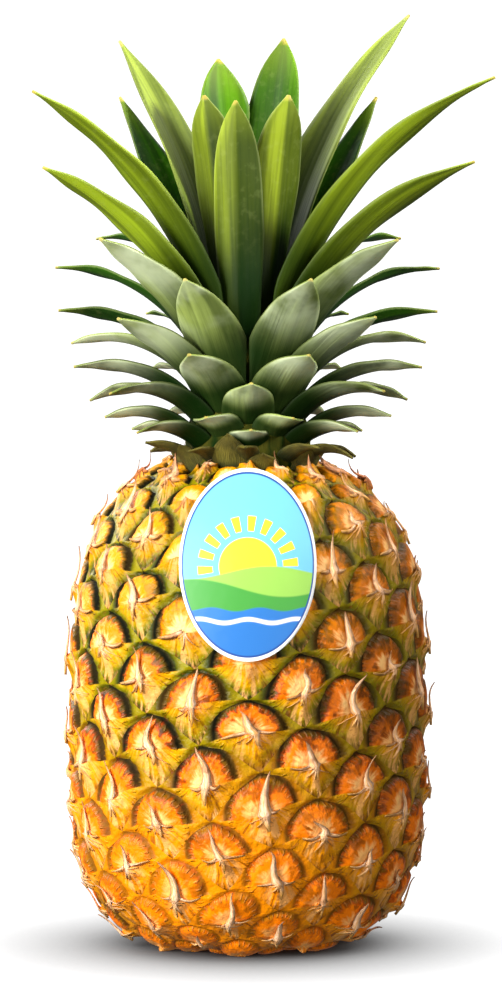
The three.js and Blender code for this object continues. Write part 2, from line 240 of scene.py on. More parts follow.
# Least turn of a leaf's arc in radians, as lengths along the arc are divided by it
LEAST_TURN = 1e-6

# How leaves differ: twist, sway of the tips, lightness and veins
LEAF_TWIST = 32
LEAF_SWAY = 1.2
LEAF_LIGHT = (0.85, 1.15)
LEAF_LOTS = 50

# Ripples along a leaf's edges: their number and phase, and where they set in and end
RIPPLE_WAVES = (2.0, 3.5)
RIPPLE_PHASE = 6.3
RIPPLE_START = 0.35
RIPPLE_EASE = 0.3
RIPPLE_END = 0.15

# Leaves shorter than this ripple less
LONG_LEAF = 90

# How a leaf thins from its middle to its edges
EDGE_POWER = 1.5


class LeafRing(NamedTuple):
    """Like leaves round the stem: where they grow, their tips, their breadth and their colour."""

    at: tuple
    root: float
    reach: float
    tip: float
    width: float
    taper: float
    tone: str
    fold: float = 0.35
    twist: float = LEAF_TWIST
    room: float = ROOM_BESIDE
    start: float = None


LEAF_RINGS = [
    LeafRing((0,), 163.7, 27, 169, 15, 3, "grey"),
    LeafRing((-56, 56, -118, 118, 180), 163.9, 43, 168, 16, 2, "grey"),
    LeafRing((-28, 28), 167.4, 29, 173, 18, 3, "sage"),
    LeafRing((-86, 86, -146, 146), 167.4, 47, 173, 16, 2, "grey"),
    LeafRing((0,), 171.5, 31, 184, 19, 3, "sage"),
    LeafRing((-60, 60), 171.5, 51, 181, 18, 2, "grey"),
    LeafRing((-118, 118, 180), 171.5, 60, 178, 16, 2, "grey"),
    LeafRing((-30, 30), 175.2, 39, 193, 23, 3, "sage", room=29),
    LeafRing((-86, 86, -146, 146), 175.2, 57, 188.6, 17, 2, "grey"),
    LeafRing((-60, 60), 179.6, 48, 205, 22, 2.4, "sage"),
    LeafRing((-118, 118, 180), 179.6, 67, 197, 18, 2, "sage"),
    LeafRing((-31, 31), 183.4, 41, 217, 25, 3, "sage", room=29.5),
    LeafRing((-88, 88, -147, 147), 183.4, 62, 207, 18, 2, "deep"),
    LeafRing((-59, 59), 187.5, 56, 230, 23, 2.4, "sage"),
    LeafRing((-117, 117, 180), 187.5, 72, 222, 19, 2, "deep"),
    LeafRing((-68,), 191.5, 71, 253, 21, 2.4, "olive"),
    LeafRing((68,), 191.5, 78, 255, 21, 2.4, "olive"),
    LeafRing((-140, 140), 191.5, 81, 233, 19, 2, "deep"),
    LeafRing((-60,), 195.5, 79, 276.5, 18, 2, "olive"),
    LeafRing((60,), 195.5, 89.5, 281, 18, 2, "olive"),
    LeafRing((-121, 121, 180), 195.5, 50, 279, 23, 2.4, "deep", twist=-34),
    LeafRing((-12,), 198, 20, 275, 18, 7, "heart", 1.0, room=32),
    LeafRing((-130,), 200, 56.5, 298.5, 23, 2.8, "lime", 0.7, -12),
    LeafRing((130,), 200, 70, 308, 23, 2.8, "lime", 0.7, -12),
    LeafRing((-48, 44), 202, 20, 277, 21, 7, "heart", 1.0, room=36),
    LeafRing((-147,), 203, 19, 291, 22, 9, "bright", 0.5, -20, 32),
    LeafRing((147,), 203, 23, 298, 23, 7, "bright", 0.5, -20, 32),
]

# Pale waxy bloom on the outer faces of low leaves, and of the others, partly a painted highlight
WAXY_TONES = ("grey", "sage")
WAXY_BLOOM = 1.0
SLIGHT_BLOOM = 0.05

# Painted shade on one half of each leaf, as if lit from the other side: how dark that half is at the heart
# of the crown, and elsewhere
HEART_HALF_SHADE = 0.74
SLIGHT_HALF_SHADE = 0.12

# Dry scales round the foot of the stem: a spreading row, and an upright one that hugs the stem
NECK_SCALES = 10
NECK_ROWS = [
    LeafRing((0,), 159.2, 36, 163, 11, 2, "dry", 0.2, start=36),
    LeafRing((18,), 155, 25.5, 165, 15, 2.5, "dry", 0.2, room=20, start=68),
]

# How dry scales differ: direction, reach, height of the tip and width
SCALE_STRAY = 7
SCALE_REACH = (0.88, 1.04)
SCALE_TIP = (-4, 3)
SCALE_WIDTH = (0.75, 1.1)

# Divisions of the label, the share of a row left off at both ends, and the rind pressed round it
LABEL_ROWS = 48
LABEL_COLUMNS = 32
LABEL_END = 0.35
LABEL_MARGIN = 1.5

# Floor and backdrop, in metres, with their divisions
FLOOR_RADIUS = 3.0
FLOOR_CURVE = 1.0
FLOOR_WALL = 4.0
FLOOR_BENDS = 13
FLOOR_STEP = 5

# Glow of the floor, how unevenly it glows, and how sharply the shade under the fruit ends
FLOOR_GLOW = 1.2
FLOOR_GRAIN = 0.024
SHADE_POWER = 1.6
SHADE_SAMPLES = 16

# Area lights, as name, place and size in metres, and the soft spot on the crown
AREA_LIGHTS = [
    ("key", (-1.05, -0.85, 0.55), 0.8),
    ("fill", (0.6, -1.0, 0.06), 0.6),
    ("back", (0.75, 0.75, 1.3), 0.8),
    ("top", (-0.15, 0.5, 1.2), 0.8),
    ("rear", (-0.9, 1.0, 0.7), 0.8),
]
SPOT_PLACE = (1.05, -0.4, 1.0)
SPOT_RADIUS = 0.15
SPOT_CONE = 14
WORLD_LIGHT = 0.16


def linear(*display):
    """A display colour, 0 to 255, as the linear values that shaders take."""
    return tuple((share / 255) ** 2.2 for share in display)


def length(name, description, millimetres):
    """A property for a length, given in millimetres and kept in metres."""
    return FloatProperty(
        name=name, description=description, default=millimetres * MM, unit="LENGTH", precision=5
    )


def tint(name, description, *display):
    """A property for a colour, given as it looks on a display."""
    return FloatVectorProperty(
        name=name, description=description, default=linear(*display), subtype="COLOR", min=0, max=1
    )


def view_angle(name, description, degrees):
    """A property for an angle, given in degrees and kept in radians."""
    return FloatProperty(
        name=name, description=description, default=math.radians(degrees), subtype="ANGLE"
    )


def light_power(name, description, watts):
    """A property for the power of a light."""
    return FloatProperty(name=name, description=description, default=watts, unit="POWER")


def count(name, description, number):
    """A property for a number of divisions."""
    return IntProperty(name=name, description=description, default=number, min=2)


class FruitSettings(bpy.types.PropertyGroup):
    """Sizes and colours of the fruit"""

    radius: length("Radius", "Radius over the eyes at the belly", 58)
    belly_height: length("Belly height", "Height of the widest place", 68)
    base_drop: length("Base drop", "How far the outline runs down from the belly", 70)
    shoulder_rise: length("Shoulder rise", "How far the outline runs up from the belly", 90.5)
    squareness: FloatProperty(
        name="Squareness", description="Power of the outline's superellipse", default=3.2
    )
    seat_radius: length("Seat radius", "Radius of the crown's seat", 21.4)
    seat_height: length("Seat height", "Height of the crown's seat", 153)
    eye_rise: length("Eye rise", "Climb from one eye to the next along the outline", 1.12)
    eye_steps: count("Eye steps", "Divisions of an eye along each spiral", 20)
    crevice_depth: length("Crevice depth", "Depth of the crevices between eyes", 2.5)
    eye_bow: length("Eye bow", "How far the seams bow upwards over the shields", 1.8)
    seam_depth: length("Seam depth", "Depth of a bract's lower edge under the outline", 0.9)
    bract_lip: length("Bract lip", "How far a bract's upper edge stands off", 1.5)
    point_length: length("Point length", "Length of the dry point of a bract", 11)
    point_stand: length("Point stand", "How far the tip of the point stands off", 2)
    stalk_radius: length("Stalk radius", "Radius of the cut stalk", 15)
    cream: tint("Cream", "Pale patch at the root of the dry point", 254, 198, 122)
    orange: tint("Orange", "Middle of the shields", 238, 112, 0)
    burnt: tint("Burnt orange", "Outer part of the shields", 196, 58, 0)
    rim: tint("Rim", "Rim of the shields", 140, 96, 10)
    moss: tint("Moss", "Outer edge of the shields", 40, 46, 2)
    bruise: tint("Bruise", "Dark spots on the shields", 96, 26, 6)
    gold: tint("Gold", "Bracts", 224, 160, 0)
    leafy: tint("Leafy", "Wings of the bracts", 132, 122, 0)
    blush: tint("Blush", "Fibres down the middle of the bracts", 242, 174, 100)
    olive: tint("Olive", "Lower edges of the bracts", 56, 62, 0)
    # Near-black painted shade laid in the crevices round the shields
    crevice_shade: tint("Crevice", "Bottom of the crevices", 18, 20, 2)
    papery: tint("Papery", "Dry points and lips", 252, 208, 172)
    # Amber brightens the lower eyes: partly their riper colour, partly painted light on the bright base
    amber: tint("Amber", "Ripe glow of the lower eyes", 255, 140, 0)
    # Umber darkens the right side: partly its unripe colour, partly painted shade
    umber_and_shade: tint("Umber", "Shields on the greener side", 96, 56, 4)
    rust: tint("Rust", "Dry bracts round the neck", 184, 88, 36)
    scorched: tint("Scorched", "Scorched places on the dry points", 158, 92, 46)


class CrownSettings(bpy.types.PropertyGroup):
    """Sizes and colours of the crown"""

    leaf_thickness: length("Leaf thickness", "Thickness of a leaf at its root", 1.5)
    tip_thickness: length("Tip thickness", "Thickness of a leaf at its tip", 0.8)
    edge_thickness: length("Edge thickness", "Thickness of a leaf's edges", 0.6)
    edge_ripple: length("Edge ripple", "Height of the ripple along a leaf's edges", 0.5)
    leaf_stations: count("Leaf stations", "Sections along a leaf", 34)
    leaf_columns: count("Leaf columns", "Divisions across a leaf's face", 10)
    brown: tint("Brown", "Lowest leaves", 72, 66, 22)
    grey: tint("Grey green", "Low leaves", 80, 90, 48)
    sage: tint("Sage", "Middle leaves", 130, 144, 74)
    deep: tint("Deep green", "Leaves in the shade at the back", 40, 78, 8)
    olive: tint("Olive", "Long outer leaves", 138, 158, 34)
    heart: tint("Heart", "Leaves at the heart of the crown", 134, 150, 34)
    lime: tint("Lime", "The longest leaves and fresh tips", 136, 152, 50)
    bright: tint("Bright green", "Young leaves behind the heart", 70, 116, 0)
    dry: tint("Dry", "Dry scales round the neck", 100, 92, 32)
    margin: tint("Margin", "Edges of the leaves", 170, 180, 110)
    # Bloom is partly a painted highlight on the outer faces of the leaves
    bloom_and_highlight: tint("Bloom", "Waxy bloom on the leaves", 196, 206, 166)
    shade: tint("Shade", "Roots of the leaves", 10, 34, 0)
    dead: tint("Dead", "Dry ends of the leaves", 168, 146, 72)
    stem: tint("Stem", "Stem between the leaves", 64, 62, 20)


class LabelSettings(bpy.types.PropertyGroup):
    """Size, place and colours of the paper label"""

    height: length("Height", "Height of the oval", 60)
    width: length("Width", "Width of the oval", 43)
    middle: length("Middle", "Height of the oval's middle", 127)
    stand: length("Stand", "How far the label stands off the outline", 2.2)
    leaves_fruit: length("Leaves the fruit", "Height above which the label stands free", 146)
    thickness: length("Thickness", "Thickness of the label", 0.6)
    clearance: length("Clearance", "Least gap between the rind and the label", 0.4)
    sky: tint("Sky", "Ground of the design", 104, 174, 216)
    border: tint("Border", "Edge of the label", 250, 250, 246)
    line: tint("Line", "Thin line inside the border", 38, 74, 140)
    sun: tint("Sun", "Half sun", 250, 196, 52)
    hill: tint("Hill", "Nearer hill", 66, 142, 58)
    ridge: tint("Ridge", "Farther hill", 138, 184, 78)
    sea: tint("Sea", "Band below the hills", 44, 108, 178)


class StageSettings(bpy.types.PropertyGroup):
    """Camera, light and floor"""

    distance: length("Distance", "Distance of the camera", 1300)
    target_height: length("Target height", "Height that the camera looks at", 145.7)
    target_side: length("Target side", "How far to the right the camera looks", 1)
    elevation: view_angle("Elevation", "How far the camera looks down", 2)
    view_height: view_angle("View height", "Vertical field of view", 14.37)
    key_power: light_power("Key power", "Power of the key light", 52)
    fill_power: light_power("Fill power", "Power of the fill light", 7)
    back_power: light_power("Back power", "Power of the light behind the fruit", 11)
    top_power: light_power("Top power", "Power of the light from above", 16)
    rear_power: light_power("Rear power", "Power of the light at the rear left", 16)
    crown_power: light_power("Crown power", "Power of the spot on the crown", 350)
    crown_height: length("Crown height", "Height that the spot on the crown faces", 325)
    shade_reach: length("Shade reach", "How far the soft shade round the base reaches", 62)
    floor_colour: tint("Floor", "Floor and backdrop", 60, 60, 60)


# Mesh building


def smoothstep(share):
    """Eases from 0 to 1 as share does, without a kink at either end."""
    held = np.clip(share, 0, 1)
    return held * held * (3 - 2 * held)


def around(radius, height, direction):
    """Points at distances from the axis, heights and directions in degrees."""
    angle = np.radians(direction)
    return np.stack([radius * np.sin(angle), -radius * np.cos(angle), height], axis=-1)


def band_faces(rings, ring_points, first=0):
    """Quads between neighbouring rings of points."""
    faces = []
    for low in range(first, first + (rings - 1) * ring_points, ring_points):
        for k in range(ring_points):
            a, b = low + k, low + (k + 1) % ring_points
            faces.append((a, b, b + ring_points, a + ring_points))
    return faces


def skin_faces(rings, ring_points, first=0):
    """Faces of a closed skin over equal rings of points, with both ends capped."""
    faces = band_faces(rings, ring_points, first)
    last = first + (rings - 1) * ring_points
    faces.append(tuple(first + k for k in reversed(range(ring_points))))
    faces.append(tuple(last + k for k in range(ring_points)))
    return faces


def add_piece(name, points, faces, finish, nodes=(), data=None, domain="POINT"):
    """A smooth mesh object that rides with the part and stands for the named nodes.

    The data are attributes for the finish: three numbers for each point or corner.
    """
    mesh = bpy.data.meshes.new(name)
    mesh.from_pydata(np.asarray(points).tolist(), [], faces)
    for key, values in (data or {}).items():
        layer = mesh.attributes.new(key, "FLOAT_VECTOR", domain)
        layer.data.foreach_set("vector", np.asarray(values, dtype=np.float32).ravel())
    mesh.polygons.foreach_set("use_smooth", [True] * len(mesh.polygons))
    mesh.materials.append(finish)
    mesh.update()
    piece = bpy.data.objects.new(name, mesh)
    bpy.context.scene.collection.objects.link(piece)
    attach(piece, BODY)
    if nodes:
        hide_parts(*nodes)


# Finishes

# A Mix node's sockets for colours share their names with those for numbers, so they go by number
MIX_FIRST, MIX_SECOND, MIX_RESULT = 6, 7, 2


class Value:
    """A number on a finish's nodes, so that a finish is written as plain arithmetic."""

    def __init__(self, finish, socket):
        self.finish = finish
        self.socket = socket

    def __add__(self, other):
        return self.finish.math("ADD", self, other)

    def __sub__(self, other):
        return self.finish.math("SUBTRACT", self, other)

    def __rsub__(self, other):
        return self.finish.math("SUBTRACT", other, self)

    def __mul__(self, other):
        return self.finish.math("MULTIPLY", self, other)

    def __truediv__(self, other):
        return self.finish.math("DIVIDE", self, other)

    def __abs__(self):
        return self.finish.math("ABSOLUTE", self)

    __radd__ = __add__
    __rmul__ = __mul__

    def between(self, low, high):
        """0 where the number is low, 1 where it is high, and eased between them."""
        inputs = {"Value": self, "From Min": low, "From Max": high}
        node = self.finish.node("MapRange", inputs, interpolation_type="SMOOTHSTEP")
        return Value(self.finish, node.outputs["Result"])


class Finish:
    """A procedural material, written as short formulas on its nodes."""

    def __init__(self, name, roughness, specular):
        self.material = bpy.data.materials.new(name)
        self.material.use_nodes = True
        self.tree = self.material.node_tree
        self.shader = self.tree.nodes["Principled BSDF"]
        self.shader.inputs["Roughness"].default_value = roughness
        self.shader.inputs["Specular IOR Level"].default_value = specular
        self.place = self.node("TexCoord").outputs["Object"]

    def feed(self, socket, value):
        """Links a value to a socket, or sets a plain number or colour on it."""
        source = getattr(value, "socket", value)
        if isinstance(source, bpy.types.NodeSocket):
            self.tree.links.new(source, socket)
        elif socket.type == "RGBA":
            socket.default_value = (*value, 1)
        else:
            socket.default_value = value

    def node(self, kind, inputs=None, **options):
        """A node with its options set and its inputs fed."""
        node = self.tree.nodes.new(f"ShaderNode{kind}")
        for option, choice in options.items():
            setattr(node, option, choice)
        for key, value in (inputs or {}).items():
            self.feed(node.inputs[key], value)
        return node

    def math(self, operation, *values):
        node = self.node("Math", dict(enumerate(values)), operation=operation)
        return Value(self, node.outputs[0])

    def distance(self, x, y):
        """How far a place is from the middle."""
        return self.math("SQRT", x * x + y * y)

    def attribute(self, name):
        return self.node("Attribute", attribute_name=name).outputs["Vector"]

    def parts(self, vector):
        """The three numbers of a vector."""
        return [Value(self, part) for part in self.node("SeparateXYZ", {0: vector}).outputs]

    def numbers(self, name):
        """The three numbers of a mesh attribute."""
        return self.parts(self.attribute(name))

    def joined(self, *numbers):
        return self.node("CombineXYZ", dict(enumerate(numbers))).outputs[0]

    def grain(self, scale, detail, place=None):
        """Soft noise from 0 to 1, at a number of lumps per unit of length."""
        inputs = {"Vector": place or self.place, "Scale": scale, "Detail": detail}
        return Value(self, self.node("TexNoise", inputs).outputs["Fac"])

    def ramp(self, factor, *stops):
        """A run of colours, given as places and colours."""
        node = self.node("ValToRGB", {"Fac": factor})
        elements = node.color_ramp.elements
        while len(elements) < len(stops):
            elements.new(1.0)
        for element, (place, colour) in zip(elements, stops):
            element.position = place
            element.color = (*colour, 1)
        return node.outputs["Color"]

    def layers(self, colour, *coats):
        """A colour with coats over it, each given as how far it covers, from 0 to 1, and its colour."""
        for cover, coat in coats:
            inputs = {"Factor": cover, MIX_FIRST: colour, MIX_SECOND: coat}
            colour = self.node("Mix", inputs, data_type="RGBA", clamp_factor=True).outputs[MIX_RESULT]
        return colour

    def bump(self, height, depth):
        """Roughens the surface by a height from 0 to 1, depth metres deep."""
        node = self.node("Bump", {"Distance": depth, "Height": height})
        self.feed(self.shader.inputs["Normal"], node.outputs["Normal"])

    def paint(self, colour):
        self.feed(self.shader.inputs["Base Color"], colour)
        return self.material


class EyePlace(NamedTuple):
    """What the rind's finish knows of a place: where it is in its eye, its noise, and its ripeness, which
    also carries painted shade on the right side and painted light at the base.
    """

    across: Value
    up: Value
    lot: Value
    height: Value
    blotch: Value
    mottle: Value
    green: Value
    ripe: Value


def shield_colour(rind, fruit, eye):
    """The upper half of an eye: its colour, the pale ticks on its rim, partly painted glints, and the
    painted shade in the groove round it.
    """
    wide = (eye.across + SHIELD_LEAN) / SHIELD_WIDTH
    high = eye.up / SHIELD_HEIGHT
    away = rind.distance(wide, high)
    angle = rind.math("ARCTAN2", high, wide)
    ray = rind.grain(1.8, 4, rind.joined(3 * angle, away, eye.lot)) - 0.5
    out = away + 0.8 * eye.blotch + 0.7 * ray
    shield = rind.ramp(
        out / 1.4,
        (0.2, fruit.cream),
        (0.38, fruit.orange),
        (0.52, fruit.orange),
        (0.62, fruit.burnt),
        (0.72, fruit.rim),
    )
    spot = eye.mottle.between(0.54, 0.62) * out.between(0.4, 0.8)
    blot = rind.grain(190, 2).between(0.56, 0.64) * out.between(0.35, 0.65)
    ridge = rind.math("SINE", 30 * angle + 14 * eye.blotch)
    rim = away.between(0.78, 0.88) * away.between(1, 0.95)
    # pale ticks on the rim: partly the rind's own streaks, partly painted glints
    tick_and_glint = rim * ridge.between(0.3, 1) * eye.mottle
    unripe = eye.green * out.between(0.3, 0.75)
    pale = eye.height.between(0.5, 0.9) * out.between(0.3, 0.5) * (0.6 - 0.5 * eye.green)
    shade = out.between(0.68, 0.98) * (0.75 - 0.55 * eye.ripe)
    wing = eye.ripe * away.between(1, 1.15)
    # painted shade in the groove round the shield, fainter at the ripe base; the same mask roughens the
    # crevice
    groove_shade = away.between(0.9, 1) * away.between(1.18, 1.02) * (1 - 0.82 * eye.ripe)
    colour = rind.layers(
        shield,
        (0.75 * spot, fruit.bruise),
        (0.9 * blot, fruit.bruise),
        (0.6 * tick_and_glint, fruit.cream),
        (0.75 * unripe, fruit.umber_and_shade),
        (0.5 * eye.ripe, fruit.amber),
        (pale, fruit.gold),
        (shade, fruit.moss),
        (away.between(1, 1.14), fruit.olive),
        (away.between(1.12, 1.4), fruit.leafy),
        (0.8 * wing, fruit.amber),
        (groove_shade, fruit.crevice_shade),
    )
    return colour, tick_and_glint, groove_shade


def bract_colour(rind, fruit, eye):
    """The lower half of an eye: golden with greener edges, fibres down the middle and freckles."""
    beside = abs(eye.across)
    edge = 0.5 * (eye.up - beside) + 0.5
    bract = rind.ramp(
        edge + 0.3 * eye.blotch,
        (0.0, fruit.moss),
        (0.04, fruit.olive),
        (0.13, fruit.leafy),
        (0.26, fruit.gold),
        (0.48, fruit.orange),
    )
    fan = eye.across / (0.4 - eye.up)
    fibre = rind.grain(1, 4, rind.joined(9 * fan, 1.2 * eye.up, eye.lot))
    middle = (beside + 0.4 * eye.blotch).between(0.5, 0.08)
    freckle = rind.grain(1100, 3).between(0.58, 0.68)
    return rind.layers(
        bract,
        (0.88 * eye.ripe * edge.between(-0.1, 0.12), fruit.amber),
        (0.45 * eye.green, fruit.leafy),
        (0.8 * middle * fibre.between(0.45, 0.6), fruit.blush),
        (0.65 * fibre.between(0.42, 0.32), fruit.bruise),
        (0.5 * freckle, fruit.scorched),
        (0.3 * eye.height.between(0.4, 1), fruit.olive),
    )


def rind_finish(fruit):
    """Shields from cream through orange to a mossy rim, golden bracts, and painted shade in the crevices.

    The right side is greener and darker, partly its own unripe colour and partly painted shade, and the
    base is riper and brighter than the shoulder, partly as painted light.
    """
    rind = Finish("rind_finish", 0.42, 0.13)
    across, up, chance = rind.numbers("eye")
    x, _, z = rind.parts(rind.place)
    height = z / fruit.seat_height
    blotch = rind.grain(150, 5) - 0.5
    mottle = rind.grain(420, 4)
    # greener and darker towards the right: partly unripe colour, partly painted shade
    right = (x + 0.04 * blotch).between(0, 0.055)
    green = right * height.between(0.12, 0.58)
    # riper and brighter towards the base and away from the right: partly ripeness, partly painted light
    ripe = height.between(0.6, 0.12) * rind.grain(16, 1).between(0.2, 0.5) * (1 - 0.6 * right)
    eye = EyePlace(across, up, 9 * chance, height, blotch, mottle, green, ripe)
    shield, tick_and_glint, groove_shade = shield_colour(rind, fruit, eye)
    colour = rind.layers(
        shield,
        (up.between(0.02, -0.02), bract_colour(rind, fruit, eye)),
        (0.12 * chance.between(0.5, 1), fruit.rim),
        # painted shade over the right side
        (0.3 * green, fruit.umber_and_shade),
    )
    dry = groove_shade * up.between(-0.02, 0.02)
    rind.feed(rind.shader.inputs["Roughness"], 0.5 * dry + 0.4)
    rind.bump(mottle + 0.8 * tick_and_glint, 0.9 * MM)
    return rind.paint(colour)


def point_finish(fruit):
    """Dry papery points: pale, streaked lengthways and scorched in places."""
    papery = Finish("bract_point_finish", 0.6, 0.2)
    along, across, dry = papery.numbers("point")
    streak = papery.grain(2, 4, papery.joined(4 * across, 1.5 * along, 9 * dry))
    blotch = papery.grain(300, 4)
    colour = papery.layers(
        fruit.papery,
        (streak.between(0.4, 0.6), fruit.blush),
        (0.6 * blotch.between(0.52, 0.7), fruit.scorched),
        (0.6 * along.between(0.75, 1), fruit.scorched),
        (0.6 * along.between(-0.05, -0.4), fruit.gold),
        (0.2 * abs(across).between(0.6, 1), fruit.scorched),
        (0.75 * dry.between(0.5, 1), fruit.rust),
    )
    papery.bump(streak, 0.5 * MM)
    return papery.paint(colour)


def stalk_finish(crown):
    """The cut stalk: rings of pale pith and brown fibre."""
    stalk = Finish("stalk_finish", 0.75, 0.2)
    x, y, _ = stalk.parts(stalk.place)
    fibre = stalk.grain(700, 4)
    ring = stalk.math("SINE", 2600 * stalk.distance(x, y) + 6 * fibre)
    stalk.bump(fibre, 0.8 * MM)
    return stalk.paint(stalk.layers(crown.brown, (ring.between(-1, 1), crown.dry)))


def leaf_finish(crown):
    """Veined leaves: painted shade at the root and on one half, waxy bloom outside that is partly a
    painted highlight, fresh tips and dry ends.
    """
    leaf = Finish("leaf_finish", 0.5, 0.1)
    along, across, face = leaf.numbers("leaf")
    lot, half, side = leaf.numbers("lot")
    vein = leaf.grain(1.4, 2, leaf.joined(700 * side, 1.2 * along, lot))
    band = leaf.grain(1.1, 1, leaf.joined(across, 0.8 * along, lot))
    mottle = leaf.grain(420, 4)
    bloom_and_highlight = leaf.grain(60, 4).between(0.3, 0.65) * along.between(0.25, 0.85) * face.between(0, -1)
    end = along + 0.04 * (mottle - 0.5)
    colour = leaf.layers(
        leaf.attribute("tone"),
        (0.55 * band.between(0.58, 0.42), crown.shade),
        # painted shade on one half of the leaf
        (half * across.between(-0.12, 0.1), crown.shade),
        (0.28 * vein.between(0.4, 0.7), crown.shade),
        (0.92 * bloom_and_highlight, crown.bloom_and_highlight),
        (0.06 * mottle.between(0.5, 0.75), crown.margin),
        (0.16 * abs(across).between(0.9, 0.98), crown.margin),
        (0.3 * along.between(0.8, 1), crown.lime),
        # painted shade towards the root
        (0.93 * along.between(0.68, 0.22), crown.shade),
        (0.7 * end.between(0.975, 0.995), crown.dead),
    )
    leaf.bump(vein * along.between(0.9, 0.5), 0.25 * MM)
    return leaf.paint(colour)


def scale_finish(crown):
    """Dry scales: brown and fibrous, with painted shade at the root, and paler towards the tip."""
    scale = Finish("neck_scale_finish", 0.7, 0.25)
    along, across, face = scale.numbers("leaf")
    fibre = scale.grain(1.8, 4, scale.joined(12 * across, 2 * along, face))
    blotch = scale.grain(150, 3)
    colour = scale.layers(
        crown.brown,
        (blotch.between(0.4, 0.65), crown.dry),
        (0.6 * fibre.between(0.45, 0.7), crown.shade),
        (0.6 * along.between(0.6, 1), crown.dry),
        # painted shade towards the root
        (0.8 * along.between(0.5, 0), crown.shade),
    )
    scale.bump(fibre, 0.6 * MM)
    return scale.paint(colour)


def stem_finish(crown):
    """The stem between the leaves: dark and fibrous."""
    stem = Finish("stem_finish", 0.8, 0.05)
    x, y, z = stem.parts(stem.place)
    fibre = stem.grain(420, 4, stem.joined(x, y, 0.1 * z))
    stem.bump(fibre, 0.5 * MM)
    return stem.paint(stem.layers(crown.stem, (fibre.between(0.3, 0.7), crown.shade)))


def label_finish(label):
    """A plain landscape: a half sun over two hills and a band of sea, inside a pale border."""
    paper = Finish("label_finish", 0.5, 0.3)
    x, y, _ = paper.numbers("place")

    def below(level, swing, waves, shift):
        """1 below a wavy line across the label."""
        line = swing * paper.math("SINE", waves * x + shift) + level
        return (y - line).between(0.012, -0.012)

    from_sun = y * (label.height / label.width) + 0.02
    away = paper.distance(x, from_sun)
    turn = paper.math("ARCTAN2", from_sun, x)
    ray = paper.math("SINE", 18 * turn).between(-0.1, 0.1)
    rim = paper.distance(x, y)
    colour = paper.layers(
        label.sky,
        (ray * away.between(0.5, 0.52) * away.between(0.74, 0.72), label.sun),
        (away.between(0.43, 0.41), label.sun),
        (below(-0.08, 0.07, 2.6, 0.8), label.ridge),
        (below(-0.24, 0.09, 2.4, 3.4), label.hill),
        (below(-0.46, 0.02, 9, 0), label.sea),
        (below(-0.56, 0.02, 9, 1.5), label.border),
        (below(-0.6, 0.02, 9, 1.5), label.sea),
        (rim.between(0.935, 0.945), label.line),
        (rim.between(0.958, 0.966), label.border),
    )
    paper.bump(paper.grain(140, 2), 0.3 * MM)
    return paper.paint(colour)


# Fruit


class Outline(NamedTuple):
    """The fruit's outline from pole to pole, with the number of eyes passed on the way up it."""

    eyes: np.ndarray
    radius: np.ndarray
    height: np.ndarray
    along_radius: np.ndarray
    along_height: np.ndarray


def fruit_outline(fruit):
    """Two half superellipses that meet at the belly. Eyes shrink towards both ends."""
    turn = np.linspace(-math.pi / 2, math.pi / 2, OUTLINE_STEPS)
    power = 2 / fruit.squareness
    reach = np.where(turn > 0, fruit.shoulder_rise, -fruit.base_drop)
    radius = fruit.radius * np.abs(np.cos(turn)) ** power
    height = fruit.belly_height + reach * np.abs(np.sin(turn)) ** power
    kept = radius >= POLE_RADIUS * MM
    radius, height = radius[kept], height[kept]
    step = np.hypot(np.diff(radius), np.diff(height))
    rise = fruit.eye_rise * (radius[1:] / fruit.radius) ** EYE_SHRINK
    eyes = np.concatenate([[0], np.cumsum(step / rise)])
    eyes -= np.interp(FIRST_EYE_HEIGHT * MM, height, eyes)
    along_radius = np.gradient(radius)
    along_height = np.gradient(height)
    size = np.hypot(along_radius, along_height)
    return Outline(eyes, radius, height, along_radius / size, along_height / size)


def on_fruit(outline, left, right, relief, shift=0.0):
    """Points at places on the two spirals, raised by relief and moved up the outline by shift."""
    eye = LEFT_SPIRALS * left + RIGHT_SPIRALS * right
    direction = FIRST_EYE_DIRECTION + LEFT_TURN * left + RIGHT_TURN * right
    radius, height, along_radius, along_height = (
        np.interp(eye, outline.eyes, line) for line in outline[1:]
    )
    return around(
        radius + relief * along_height + shift * along_radius,
        height - relief * along_radius + shift * along_height,
        direction,
    )


def fruit_radius(fruit, height):
    """Radius over the eyes at a height."""
    reach = np.where(height > fruit.belly_height, fruit.shoulder_rise, fruit.base_drop)
    share = np.clip(np.abs(height - fruit.belly_height) / reach, 0, 1)
    return fruit.radius * (1 - share**fruit.squareness) ** (1 / fruit.squareness)


def eye_bow(fruit, left, right):
    """How far the seams between eyes bow upwards, which rounds off the shields."""
    wave_left = np.sin(math.pi * left) ** 2
    wave_right = np.sin(math.pi * right) ** 2
    return fruit.eye_bow * (wave_left * (1 - wave_right) + wave_right * (1 - wave_left))


def shield_distance(across, up):
    """How far out a place is in a shield: 0 in its middle and 1 at its edge."""
    return np.hypot(across / SHIELD_WIDTH, up / SHIELD_HEIGHT)


def wing_relief(fruit, across, up):
    """Relief between shields: level with the bracts' lower edges, with a crevice round a shield."""
    away = shield_distance(across, up) - CREVICE_EDGE
    filled = (fruit.crevice_depth - fruit.seam_depth) * smoothstep(away / CREVICE_BREADTH)
    return filled - fruit.crevice_depth


